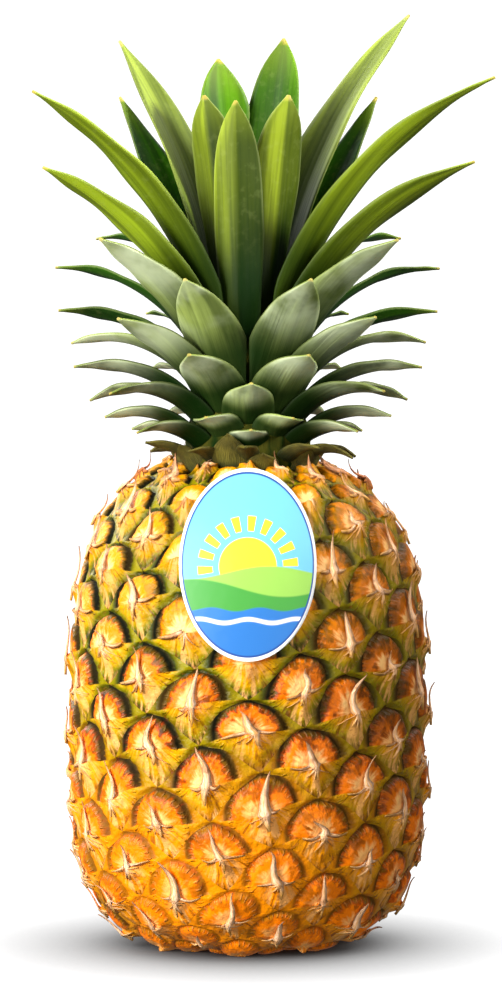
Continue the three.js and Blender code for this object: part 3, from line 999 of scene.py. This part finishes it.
def eye_relief(fruit, left, right):
    """Height of an eye's relief, for places from -0.5 to 0.5 along both spirals.

    The rounded shield fills the upper half, with a hollow where the dry point lies, and the
    bract overlaps it from below with a raised lip, a keel and a crease on each side. A crevice
    runs round the shields only.
    """
    across = right - left
    up = left + right + eye_bow(fruit, left, right) / (EYE_HALF_HEIGHT * MM)
    beside = np.abs(across)

    out = shield_distance(across, up)
    wall = smoothstep((SHIELD_FOOT - out) / SHIELD_WALL)
    hollow = HOLLOW_DEPTH * np.exp(-((out / HOLLOW_REACH) ** 2))
    dome = DOME_RISE * (1 - np.minimum(out, 1) ** 2) - hollow
    shield = (fruit.crevice_depth + dome * MM) * wall - fruit.crevice_depth
    upper = np.maximum(shield, wing_relief(fruit, across, up))

    edge = 0.5 + np.minimum(left, right)
    lip = fruit.bract_lip * (1 - beside**LIP_FALL)
    keel = KEEL_RISE * np.exp(-((across / KEEL_REACH) ** 2))
    beside_crease = beside - CREASE_PLACE + CREASE_LEAN * up
    crease = CREASE_DEPTH * np.exp(-((beside_crease / CREASE_REACH) ** 2))
    swell = (fruit.seam_depth + lip + (keel - crease) * MM) * smoothstep(edge / BRACT_SLOPE)
    below = wing_relief(fruit, 1 - beside, up + 1)
    lower = np.where(edge > BRACT_EDGE, swell - fruit.seam_depth, below)
    return np.where(up < 0, lower, upper)


def uneven(points):
    """Shifts places on the fruit a little sideways and up or down, as no two eyes are alike."""
    noise.seed_set(SEED)
    shift = np.array([noise.noise_vector(Vector(point) / UNEVEN_SPAN) for point in points])
    turn = UNEVEN_SHIFT * shift[:, 0] / np.maximum(np.hypot(points[:, 0], points[:, 1]), UNEVEN_SPAN)
    x, y, z = points.T
    return np.stack(
        [
            x * np.cos(turn) - y * np.sin(turn),
            x * np.sin(turn) + y * np.cos(turn),
            z + UNEVEN_SHIFT * shift[:, 1],
        ],
        axis=1,
    )


def rind_net(fruit, outline):
    """The quads of a net over the rind: their corners' steps along both spirals, and eyes passed."""
    steps = fruit.eye_steps
    lowest, highest = outline.eyes[0], outline.eyes[-1]
    turn = RIGHT_SPIRALS * steps
    rights = np.arange(
        math.floor((lowest * steps - LEFT_SPIRALS * turn) / RIGHT_SPIRALS) - 1,
        math.ceil(highest * steps / RIGHT_SPIRALS) + 1,
    )
    left, right = (grid.ravel() for grid in np.meshgrid(np.arange(turn), rights, indexing="ij"))
    quad_left = np.stack([left, left, left + 1, left + 1], axis=1)
    quad_right = np.stack([right, right + 1, right + 1, right], axis=1)
    eye = (LEFT_SPIRALS * quad_left + RIGHT_SPIRALS * quad_right) / steps
    inside = ((eye > lowest) & (eye < highest)).any(axis=1)
    return quad_left[inside], quad_right[inside], np.clip(eye[inside], lowest, highest)


def rind_corners(outline, steps, quad_left, quad_right, eye):
    """Numbers the corners of the net's quads, as the net closes round the fruit and at both poles.

    Gives each quad's corners, and the key and the places on both spirals of every corner.
    """
    turns = quad_left // (RIGHT_SPIRALS * steps)
    left = quad_left - turns * RIGHT_SPIRALS * steps
    right = quad_right + turns * LEFT_SPIRALS * steps
    at_pole = (eye <= outline.eyes[0]) | (eye >= outline.eyes[-1])
    pole_keys = np.where(eye > 0, TOP_KEY, BASE_KEY)
    keys = np.where(at_pole, pole_keys, left * KEY_SPAN + right + KEY_SPAN // 2)
    found, first, corner = np.unique(keys, return_index=True, return_inverse=True)
    return corner.reshape(keys.shape), found, left.ravel()[first] / steps, right.ravel()[first] / steps


def rind_points(fruit, outline, left, right):
    """The rind at places on both spirals, with the relief of the eyes. Ripe crevices are shallow."""
    local_left = left - np.floor(left + 0.5)
    local_right = right - np.floor(right + 0.5)
    relief = eye_relief(fruit, local_left, local_right)
    bow = eye_bow(fruit, local_left, local_right)
    level = on_fruit(outline, left, right, 0.0)[:, 2]
    ripe = 1 - smoothstep(level / fruit.belly_height)
    relief = np.where(relief < 0, relief * (1 - RIPE_FILL * ripe), relief)
    points = on_fruit(outline, left, right, relief, bow)
    lumps = np.array([noise.noise(Vector(point) * LUMPS_A_METRE) for point in points])
    direction = np.degrees(np.arctan2(points[:, 0], -points[:, 1]))
    points += around(lumps * LUMP_HEIGHT * MM, 0 * lumps, direction)
    return uneven(points)


def press_rind(fruit, label, points):
    """Flattens the rind behind the label, in the crown's seat and where the fruit stands."""
    distance = np.hypot(points[:, 0], points[:, 1])
    pressed = under_label(label, points)
    limit = label_radius(fruit, label, points[:, 2]) - label.clearance
    points[pressed, :2] *= np.minimum(1, limit / np.maximum(distance, MM))[pressed, None]
    seated = (distance < fruit.seat_radius) & (points[:, 2] > fruit.seat_height)
    points[seated, 2] = fruit.seat_height
    points[:, 2] = np.maximum(points[:, 2], 0)


def eye_places(fruit, quad_left, quad_right):
    """Where each quad's corners are in their eye, across and up, with a chance from 0 to 1 for the eye."""
    steps = fruit.eye_steps
    eye_left = np.round(quad_left.mean(axis=1) / steps)
    eye_right = np.round(quad_right.mean(axis=1) / steps)
    left = quad_left / steps - eye_left[:, None]
    right = quad_right / steps - eye_right[:, None]
    bow = eye_bow(fruit, left, right) / (EYE_HALF_HEIGHT * MM)
    spread = np.sin(eye_left * CHANCE_LEFT + eye_right * CHANCE_RIGHT) * CHANCE_SPREAD
    chance = np.modf(np.abs(spread))[0]
    return np.stack([right - left, left + right + bow, chance[:, None] + 0 * bow], axis=-1)


def make_rind(fruit, label):
    """The whole rind as one closed mesh, flat where it stands, round the seat and behind the label."""
    outline = fruit_outline(fruit)
    quad_left, quad_right, eye = rind_net(fruit, outline)
    corner, keys, left, right = rind_corners(outline, fruit.eye_steps, quad_left, quad_right, eye)
    points = rind_points(fruit, outline, left, right)
    for key, end in ((BASE_KEY, 0), (TOP_KEY, -1)):
        points[keys == key] = (0, 0, outline.height[end])
    press_rind(fruit, label, points)

    faces = []
    eye_data = []
    for quad, places in zip(corner.tolist(), eye_places(fruit, quad_left, quad_right)):
        kept = [k for k in range(4) if quad[k] != quad[k - 1]]
        if len(kept) < 3:
            continue
        faces.append(tuple(quad[k] for k in kept))
        eye_data.extend(places[kept])
    add_piece("rind", points, faces, rind_finish(fruit), ["fruit"], {"eye": eye_data}, "CORNER")


def label_radius(fruit, label, height):
    """Distance of the label's back from the axis, straight past the height where it leaves the fruit."""
    resting = np.minimum(height, label.leaves_fruit)
    nudge = 0.5 * MM
    upper = fruit_radius(fruit, label.leaves_fruit + nudge)
    slope = (upper - fruit_radius(fruit, label.leaves_fruit - nudge)) / (2 * nudge)
    return fruit_radius(fruit, resting) + label.stand + slope * (height - resting)


def under_label(label, points):
    """Whether places on the fruit are behind the label or close to its edge."""
    margin = LABEL_MARGIN * MM
    across = points[:, 0] / (label.width / 2 + margin)
    up = (points[:, 2] - label.middle) / (label.height / 2 + margin)
    return (points[:, 1] < 0) & (across**2 + up**2 < 1)


def on_eye(outline, left, right, places):
    """Points at places sideways, up and off the fruit, counted from the middle of an eye."""
    side, up, high = np.array(places).T
    return on_fruit(outline, left + (up - side) / 2, right + (up + side) / 2, high)


def point_rings(fruit, outline, left, right, dry, draw):
    """One bract's dry point, as four-sided rings: left edge, ridge, right edge and back."""
    reach = fruit.point_length * draw.uniform(*POINT_REACH) / (EYE_HALF_HEIGHT * MM)
    if draw.random() < BROKEN_POINTS:
        reach *= BROKEN_REACH
    lean = draw.uniform(-POINT_LEAN, POINT_LEAN)
    sway = draw.uniform(-POINT_SWAY, POINT_SWAY)
    hook = fruit.point_stand * draw.uniform(*POINT_HOOK) * (1 + dry)
    twist = draw.uniform(-POINT_TWIST, POINT_TWIST)
    broad = draw.uniform(*POINT_BREADTH) * (1 + dry)
    places = []
    for share, breadth in POINT_ROWS:
        gone = max(share, 0)
        side = lean * gone**2 + sway * math.sin(POINT_WAVES * share)
        half = broad * breadth / EYE_HALF_WIDTH
        base = fruit.bract_lip + (POINT_ROOT - POINT_DIP * gone) * MM + hook * gone**3
        tilt = twist * broad * breadth * MM * gone
        for across, high in (
            (-half, base - tilt),
            (0, base + POINT_RIDGE * MM * (1 - gone)),
            (half, base + tilt),
            (0, base - POINT_BACK * MM),
        ):
            places.append((side + across, share * reach, high))
    return on_eye(outline, left, right, places)


def lip_rings(fruit, outline, left, right, way, draw):
    """The papery upper edge of a bract on one side, from the dry point outwards."""
    reach = draw.uniform(*LIP_REACH)
    curl = draw.uniform(*LIP_CURL)
    dip = draw.uniform(*LIP_DIP)
    places = []
    for share in np.linspace(0, 1, len(FIBRE_FADE)):
        side = way * (LIP_START + reach * share)
        tall = LIP_HEIGHT * (1 - share) ** LIP_TAPER + LIP_END_HEIGHT
        base = fruit.bract_lip * (1 - abs(side) ** LIP_FALL)
        stand = curl * math.sin(math.pi * share) * MM
        level = -dip * math.sin(math.pi * share)
        foot_front_rim_back = [
            (side, level - LIP_FOOT, base - LIP_FOOT_DEPTH * MM),
            (side, level, base + LIP_FRONT * MM),
            (side, level + tall / EYE_HALF_HEIGHT, base + LIP_RIM * MM + stand),
            (side, level, base - LIP_BACK_DEPTH * MM),
        ]
        places += foot_front_rim_back if way > 0 else reversed(foot_front_rim_back)
    return on_eye(outline, left, right, places)


def strand_rings(fruit, outline, left, right, way, reach):
    """A dry fibre that runs from the root of the point down the bract, way radians to one side."""
    places = []
    for share in np.linspace(0, 1, len(FIBRE_FADE)):
        gone = reach * share
        turned = way * (STRAND_FIRST_WAY + STRAND_OPENING * share)
        side = gone * math.sin(turned) * STRAND_SPREAD
        up = STRAND_START - gone * math.cos(way) * (1 - STRAND_LAG * share)
        half = STRAND_HALF_WIDTH * (1 - share) + STRAND_TIP_HALF_WIDTH
        for across, high in STRAND_SECTION:
            places.append((side + half * across, up, high * MM))
    side, up, high = np.array(places).T
    high += eye_relief(fruit, (up - side) / 2, (up + side) / 2)
    return on_eye(outline, left, right, np.stack([side, up, high], axis=1))


def make_bract_points(fruit, label):
    """The dry points, fibres and papery lips of all bracts but those that the label presses flat."""
    outline = fruit_outline(fruit)
    draw = random.Random(SEED)
    points, faces, data = [], [], []

    def add_rings(made, alongs, chance):
        made = uneven(made)
        if under_label(label, made).any():
            return
        faces.extend(skin_faces(len(alongs), len(RING_SIDES), len(points)))
        points.extend(made)
        for along in alongs:
            data.extend((along, side, chance) for side in RING_SIDES)

    for left in range(RIGHT_SPIRALS):
        for right in range(-MOST_EYES, MOST_EYES):
            eye = LEFT_SPIRALS * left + RIGHT_SPIRALS * right
            if not outline.eyes[0] < eye < outline.eyes[-1]:
                continue
            height = on_fruit(outline, left, right, 0.0)[2]
            if not LOWEST_POINT * MM < height < HIGHEST_POINT * MM:
                continue
            dry = float(smoothstep((height / MM - DRY_ABOVE) / DRY_SPAN))
            chance = 0.5 * draw.random() + 0.5 * dry
            made = point_rings(fruit, outline, left, right, dry, draw)
            add_rings(made, [share for share, _ in POINT_ROWS], chance)
            for way in (-1, 1):
                if draw.random() > LOST_LIPS:
                    made = lip_rings(fruit, outline, left, right, way, draw)
                    add_rings(made, FIBRE_FADE, chance)
            for way in STRAND_WAYS:
                way += draw.uniform(-STRAND_STRAY, STRAND_STRAY)
                made = strand_rings(fruit, outline, left, right, way, draw.uniform(*STRAND_REACH))
                add_rings(made, FIBRE_FADE, chance)
    held = np.array(points)
    held[:, 2] = np.maximum(held[:, 2], POINT_CLEARANCE * MM)
    add_piece("bract_points", held, faces, point_finish(fruit), (), {"point": data})


def make_stalk(fruit, crown):
    """The cut end of the stalk in the middle of the base, with a worn edge."""
    directions = np.arange(0, 360, STALK_STEP)
    points = []
    for share, height in STALK_PROFILE:
        turns = STALK_LUMPS * np.radians(directions)
        ragged = np.array([noise.noise(Vector((turn, height, STALK_GRAIN))) for turn in turns])
        radius = fruit.stalk_radius * share * (1 + STALK_WEAR * ragged)
        points.append(around(radius, height * MM + 0 * directions, directions))
    faces = skin_faces(len(STALK_PROFILE), len(directions))
    add_piece("cut_stalk", np.concatenate(points), faces, stalk_finish(crown))


# Crown


def stem_radius(height):
    """The stem's radius at a height, in millimetres."""
    radii, heights = zip(*STEM_PROFILE)
    return float(np.interp(height, heights, radii))


def leaf_start(ring, direction):
    """How steeply a leaf leaves the stem, so that inner leaves nest in outer ones."""
    if ring.start is not None:
        return math.radians(ring.start)
    share = (ring.root - LOWEST_ROOT) / (HIGHEST_ROOT - LOWEST_ROOT)
    start = LOWEST_START + (HIGHEST_START - LOWEST_START) * share
    room = (90 - start) / (90 - LOWEST_START)
    return math.radians(start + FRONT_LIFT * room * max(0, math.cos(math.radians(direction))))


def leaf_arc(ring, direction, share):
    """Radius, height and tilt along a leaf: an arc from its root on the stem to its tip."""
    root_radius = stem_radius(ring.root)
    first = leaf_start(ring, direction)
    half = first - math.atan2(ring.tip - ring.root, ring.reach - root_radius)
    chord = math.hypot(ring.reach - root_radius, ring.tip - ring.root)
    turned = np.maximum(half * share, LEAST_TURN) if half > 0 else half * share - LEAST_TURN
    gone = chord * half / math.sin(half) * share * np.sin(turned) / turned
    radius = root_radius + gone * np.cos(first - turned)
    height = ring.root + gone * np.sin(first - turned)
    return radius, height, first - 2 * turned


def leaf_axes(ring, direction, share, tilt):
    """The ways to a leaf's right and to its upper face along it, as it twists towards its tip."""
    angle = math.radians(direction)
    level = np.array([math.cos(angle), math.sin(angle), 0.0])
    inner = around(-np.sin(tilt), np.cos(tilt), direction)
    roll = (math.radians(ring.twist) * share * math.sin(angle))[:, None]
    side = level * np.cos(roll) - inner * np.sin(roll)
    inner = inner * np.cos(roll) + level * np.sin(roll)
    return side[:, None], inner[:, None]


def leaf_section(ring, share, radius, tilt, place):
    """How far sideways and how high the middle of a leaf's thickness is, in metres.

    A section is an arc of a channel that wraps the stem, drawn towards a V by the ring's fold.
    """
    broad = np.maximum(TIP_HALF_WIDTH, ring.width / 2 * (1 - share**ring.taper))
    room = np.maximum(radius, ROOM_RADIUS) * math.tan(math.radians(ring.room)) - ROOM_GAP
    half_width = np.minimum(room, broad)
    stem_round = np.maximum(radius, CHANNEL_RADIUS) / np.maximum(FLATTEST_TILT, np.sin(tilt))
    channel = np.minimum(stem_round, CHANNEL_SHARE * ring.width / 2)
    opening = np.minimum(half_width / channel, WIDEST_OPENING)
    turn = opening[:, None] * place
    rise = channel * (1 - np.cos(opening))
    rounded = channel[:, None] * (1 - np.cos(turn))
    folded = rise[:, None] * np.abs(place)
    across = channel[:, None] * np.sin(turn) * MM
    return across, (rounded + ring.fold * (folded - rounded)) * MM


def leaf_points(crown, ring, direction, draw):
    """A leaf's sections, each a ring of points over its upper face and back under the lower one."""
    share = np.linspace(0, 1, crown.leaf_stations)
    place = np.linspace(-1, 1, crown.leaf_columns + 1)
    radius, height, tilt = leaf_arc(ring, direction, share)
    side, inner = leaf_axes(ring, direction, share, tilt)
    sunk = np.where(share == 0, LEAF_ROOT_DEPTH, 0)
    middle = around(radius - sunk * np.cos(tilt), height - sunk * np.sin(tilt), direction) * MM
    across, lift = leaf_section(ring, share, radius, tilt, place)

    waves, phase = draw.uniform(*RIPPLE_WAVES), draw.uniform(0, RIPPLE_PHASE)
    free = smoothstep((share - RIPPLE_START) / RIPPLE_EASE) * smoothstep((1 - share) / RIPPLE_END)
    calm = min(1, math.hypot(ring.reach, ring.tip - ring.root) / LONG_LEAF) ** 2
    ripple = np.sin(2 * math.pi * waves * share + phase) * free * crown.edge_ripple * calm
    lift = lift + ripple[:, None] * place * np.abs(place)
    sway = draw.uniform(-LEAF_SWAY, LEAF_SWAY) * MM * share**2
    across = across + sway[:, None]

    thick = crown.leaf_thickness + (crown.tip_thickness - crown.leaf_thickness) * share
    body = (thick[:, None] + (crown.edge_thickness - thick[:, None]) * np.abs(place) ** EDGE_POWER) / 2
    level = middle[:, None] + side * across[..., None]
    upper = level + inner * (lift + body)[..., None]
    lower = level + inner * (lift - body)[..., None]
    rings = np.concatenate([upper, lower[:, ::-1]], axis=1)
    bloom_and_highlight = WAXY_BLOOM if ring.tone in WAXY_TONES else SLIGHT_BLOOM
    data = [
        (along, spot, face)
        for along in share
        for face, spots in ((1, place), (-bloom_and_highlight, place[::-1]))
        for spot in spots
    ]
    sides = np.concatenate([across, across[:, ::-1]], axis=1).ravel()
    return rings, data, sides


def make_leaves(crown):
    """One piece for each leaf, in the place of its node."""
    finish = leaf_finish(crown)
    draw = random.Random(SEED)
    for number, ring in enumerate(LEAF_RINGS, 1):
        half = HEART_HALF_SHADE if ring.tone == "heart" else SLIGHT_HALF_SHADE
        for letter, direction in zip("abcdef", ring.at):
            node = f"leaf_{number:02d}_{letter}"
            rings, data, sides = leaf_points(crown, ring, direction, draw)
            faces = skin_faces(rings.shape[0], rings.shape[1])
            light = draw.uniform(*LEAF_LIGHT)
            colour = [light * share for share in getattr(crown, ring.tone)]
            chance = draw.uniform(0, LEAF_LOTS)
            lot = [(chance, half, side) for side in sides]
            looks = {"leaf": data, "tone": [colour] * len(data), "lot": lot}
            add_piece(f"{node}_blade", rings.reshape(-1, 3), faces, finish, [node], looks)


def make_stem(crown):
    """The stem between the leaves, with rings where leaves have grown."""
    levels = np.linspace(STEM_PROFILE[0][1], STEM_PROFILE[-1][1], STEM_LEVELS)
    directions = np.arange(0, 360, STEM_STEP)
    points = []
    for level in levels:
        radius = stem_radius(level) + STEM_RING * math.sin(level * STEM_RINGS)
        points.append(around(radius * MM, level * MM + 0 * directions, directions))
    faces = skin_faces(len(levels), len(directions))
    finish = stem_finish(crown)
    add_piece("crown_stem_body", np.concatenate(points), faces, finish, ["crown_stem"])


def make_scales(crown):
    """The dry scales round the foot of the stem, as one piece."""
    draw = random.Random(SEED + 1)
    points, faces, data = [], [], []
    for row in NECK_ROWS:
        for k in range(NECK_SCALES):
            direction = row.at[0] + 360 * k / NECK_SCALES + draw.uniform(-SCALE_STRAY, SCALE_STRAY)
            scale = row._replace(
                reach=row.reach * draw.uniform(*SCALE_REACH),
                tip=row.tip + draw.uniform(*SCALE_TIP),
                width=row.width * draw.uniform(*SCALE_WIDTH),
            )
            rings, ring_data, _ = leaf_points(crown, scale, direction, draw)
            faces += skin_faces(rings.shape[0], rings.shape[1], len(points))
            points.extend(rings.reshape(-1, 3))
            data.extend(ring_data)
    add_piece("neck_scales", points, faces, scale_finish(crown), (), {"leaf": data})


# Label


def make_label(fruit, label):
    """The oval sheet that lies on the eyes, and stands free past the shoulder."""
    turn = math.pi * (np.arange(LABEL_ROWS + 1) + LABEL_END) / (LABEL_ROWS + 2 * LABEL_END)
    height = label.middle - label.height / 2 * np.cos(turn)
    radius = label_radius(fruit, label, height)[:, None]
    place = np.linspace(-1, 1, LABEL_COLUMNS + 1)
    across = label.width / 2 * place * np.sin(turn)[:, None]
    direction = np.degrees(np.arcsin(across / radius))
    tall = height[:, None] + 0 * across
    front = around(radius + label.thickness + 0 * across, tall, direction)
    back = around(radius + 0 * across, tall, direction)
    rings = np.concatenate([front, back[:, ::-1]], axis=1)
    up = 2 * (tall - label.middle) / label.height
    flat = np.stack([2 * across / label.width, up, 0 * tall], axis=-1)
    data = np.concatenate([flat, flat[:, ::-1]], axis=1).reshape(-1, 3)
    points = rings.reshape(-1, 3)
    faces = skin_faces(rings.shape[0], rings.shape[1])
    add_piece("label_sheet", points, faces, label_finish(label), ["label"], {"place": data})


# Stage


def floor_finish(stage):
    """Pale floor that glows like a lit backdrop, with a soft shade where the fruit stands."""
    pale = Finish("floor_finish", 0.9, 0.1)
    shade = pale.node("AmbientOcclusion", {"Distance": stage.shade_reach}, samples=SHADE_SAMPLES)
    light = pale.math("POWER", shade.outputs["AO"], SHADE_POWER)
    glow = light * (FLOOR_GLOW - FLOOR_GRAIN * pale.grain(3, 2))
    pale.feed(pale.shader.inputs["Emission Strength"], glow)
    pale.shader.inputs["Emission Color"].default_value = (1, 1, 1, 1)
    pale.material.cycles.emission_sampling = "NONE"
    return pale.paint(stage.floor_colour)


def make_floor(stage):
    """A round floor that curves up into a backdrop on all sides."""
    bend = np.linspace(0, math.pi / 2, FLOOR_BENDS)
    radii = [MM, *(FLOOR_RADIUS + FLOOR_CURVE * np.sin(bend)), FLOOR_RADIUS + FLOOR_CURVE]
    heights = [0, *(FLOOR_CURVE * (1 - np.cos(bend))), FLOOR_WALL]
    directions = np.arange(0, 360, FLOOR_STEP)
    rings = [around(radius, z + 0 * directions, directions) for radius, z in zip(radii, heights)]
    mesh = bpy.data.meshes.new("floor")
    mesh.from_pydata(np.concatenate(rings).tolist(), [], band_faces(len(rings), len(directions)))
    mesh.polygons.foreach_set("use_smooth", [True] * len(mesh.polygons))
    mesh.materials.append(floor_finish(stage))
    floor = bpy.data.objects.new("floor", mesh)
    floor.visible_diffuse = False
    floor.visible_glossy = False
    bpy.context.scene.collection.objects.link(floor)


def add_light(name, kind, place, target, power, **settings):
    """A light that faces the target."""
    lamp = bpy.data.lights.new(name, kind)
    lamp.energy = power
    for setting, value in settings.items():
        setattr(lamp, setting, value)
    light = bpy.data.objects.new(name, lamp)
    light.location = place
    light.rotation_euler = (target - Vector(place)).to_track_quat("-Z", "Y").to_euler()
    bpy.context.scene.collection.objects.link(light)


def make_lights(stage, target):
    """Soft light from all sides, and a spot that lights the crown and misses the fruit."""
    for name, place, size in AREA_LIGHTS:
        power = getattr(stage, f"{name}_power")
        add_light(f"{name}_light", "AREA", place, target, power, size=size)
    add_light(
        "crown_light",
        "SPOT",
        SPOT_PLACE,
        Vector((0, 0, stage.crown_height)),
        stage.crown_power,
        shadow_soft_size=SPOT_RADIUS,
        spot_size=math.radians(SPOT_CONE),
        spot_blend=1.0,
    )
    world = bpy.data.worlds.new("studio")
    world.use_nodes = True
    background = world.node_tree.nodes["Background"]
    background.inputs["Color"].default_value = (1, 1, 1, 1)
    background.inputs["Strength"].default_value = WORLD_LIGHT
    bpy.context.scene.world = world


def make_stage(stage):
    """Floor, soft studio light and the camera."""
    make_floor(stage)
    target = Vector((stage.target_side, 0, stage.target_height))
    make_lights(stage, target)
    scene = bpy.context.scene
    scene.view_settings.view_transform = "Standard"

    lens = bpy.data.cameras.new("camera")
    lens.sensor_fit = "VERTICAL"
    lens.lens = lens.sensor_height / 2 / math.tan(stage.view_height / 2)
    camera = bpy.data.objects.new("camera", lens)
    away = Vector((0, -math.cos(stage.elevation), math.sin(stage.elevation)))
    camera.location = target + away * stage.distance
    camera.rotation_euler = (-away).to_track_quat("-Z", "Y").to_euler()
    scene.collection.objects.link(camera)
    scene.camera = camera


# Operators and panel


class PINEAPPLE_OT_rind(bpy.types.Operator):
    """Build the rind with its eyes"""

    bl_idname = "pineapple.rind"
    bl_label = "Rind"

    def execute(self, context):
        make_rind(context.scene.pineapple_fruit, context.scene.pineapple_label)
        return {"FINISHED"}


class PINEAPPLE_OT_bract_points(bpy.types.Operator):
    """Build the dry points and papery lips of the bracts"""

    bl_idname = "pineapple.bract_points"
    bl_label = "Bract points"

    def execute(self, context):
        make_bract_points(context.scene.pineapple_fruit, context.scene.pineapple_label)
        return {"FINISHED"}


class PINEAPPLE_OT_stalk(bpy.types.Operator):
    """Build the cut stalk in the base"""

    bl_idname = "pineapple.stalk"
    bl_label = "Cut stalk"

    def execute(self, context):
        make_stalk(context.scene.pineapple_fruit, context.scene.pineapple_crown)
        return {"FINISHED"}


class PINEAPPLE_OT_stem(bpy.types.Operator):
    """Build the crown's stem and the dry scales round its foot"""

    bl_idname = "pineapple.stem"
    bl_label = "Stem and scales"

    def execute(self, context):
        make_stem(context.scene.pineapple_crown)
        make_scales(context.scene.pineapple_crown)
        return {"FINISHED"}


class PINEAPPLE_OT_leaves(bpy.types.Operator):
    """Build the crown's leaves"""

    bl_idname = "pineapple.leaves"
    bl_label = "Leaves"

    def execute(self, context):
        make_leaves(context.scene.pineapple_crown)
        return {"FINISHED"}


class PINEAPPLE_OT_label(bpy.types.Operator):
    """Build the paper label"""

    bl_idname = "pineapple.label"
    bl_label = "Label"

    def execute(self, context):
        make_label(context.scene.pineapple_fruit, context.scene.pineapple_label)
        return {"FINISHED"}


class PINEAPPLE_OT_stage(bpy.types.Operator):
    """Build the floor, the lights and the camera"""

    bl_idname = "pineapple.stage"
    bl_label = "Stage"

    def execute(self, context):
        make_stage(context.scene.pineapple_stage)
        return {"FINISHED"}


OPERATORS = (
    PINEAPPLE_OT_rind,
    PINEAPPLE_OT_bract_points,
    PINEAPPLE_OT_stalk,
    PINEAPPLE_OT_stem,
    PINEAPPLE_OT_leaves,
    PINEAPPLE_OT_label,
    PINEAPPLE_OT_stage,
)

SETTINGS = {
    "pineapple_fruit": FruitSettings,
    "pineapple_crown": CrownSettings,
    "pineapple_label": LabelSettings,
    "pineapple_stage": StageSettings,
}


class VIEW3D_PT_pineapple(bpy.types.Panel):
    """Lists the pieces of the pineapple and their settings"""

    bl_label = "Pineapple"
    bl_space_type = "VIEW_3D"
    bl_region_type = "UI"
    bl_category = "Pineapple"

    def draw(self, context):
        for operator in OPERATORS:
            self.layout.operator(operator.bl_idname)
        for key, group in SETTINGS.items():
            box = self.layout.box()
            for name in group.__annotations__:
                box.prop(getattr(context.scene, key), name)


def register():
    for group in (*SETTINGS.values(), *OPERATORS, VIEW3D_PT_pineapple):
        bpy.utils.register_class(group)
    for key, group in SETTINGS.items():
        setattr(bpy.types.Scene, key, PointerProperty(type=group))


def unregister():
    for key in SETTINGS:
        delattr(bpy.types.Scene, key)
    for group in (VIEW3D_PT_pineapple, *reversed(OPERATORS), *SETTINGS.values()):
        bpy.utils.unregister_class(group)


def main():
    """Builds every piece and the stage."""
    register()
    bpy.ops.pineapple.rind()
    bpy.ops.pineapple.bract_points()
    bpy.ops.pineapple.stalk()
    bpy.ops.pineapple.stem()
    bpy.ops.pineapple.leaves()
    bpy.ops.pineapple.label()
    bpy.ops.pineapple.stage()


if __name__ == "__main__":
    main()
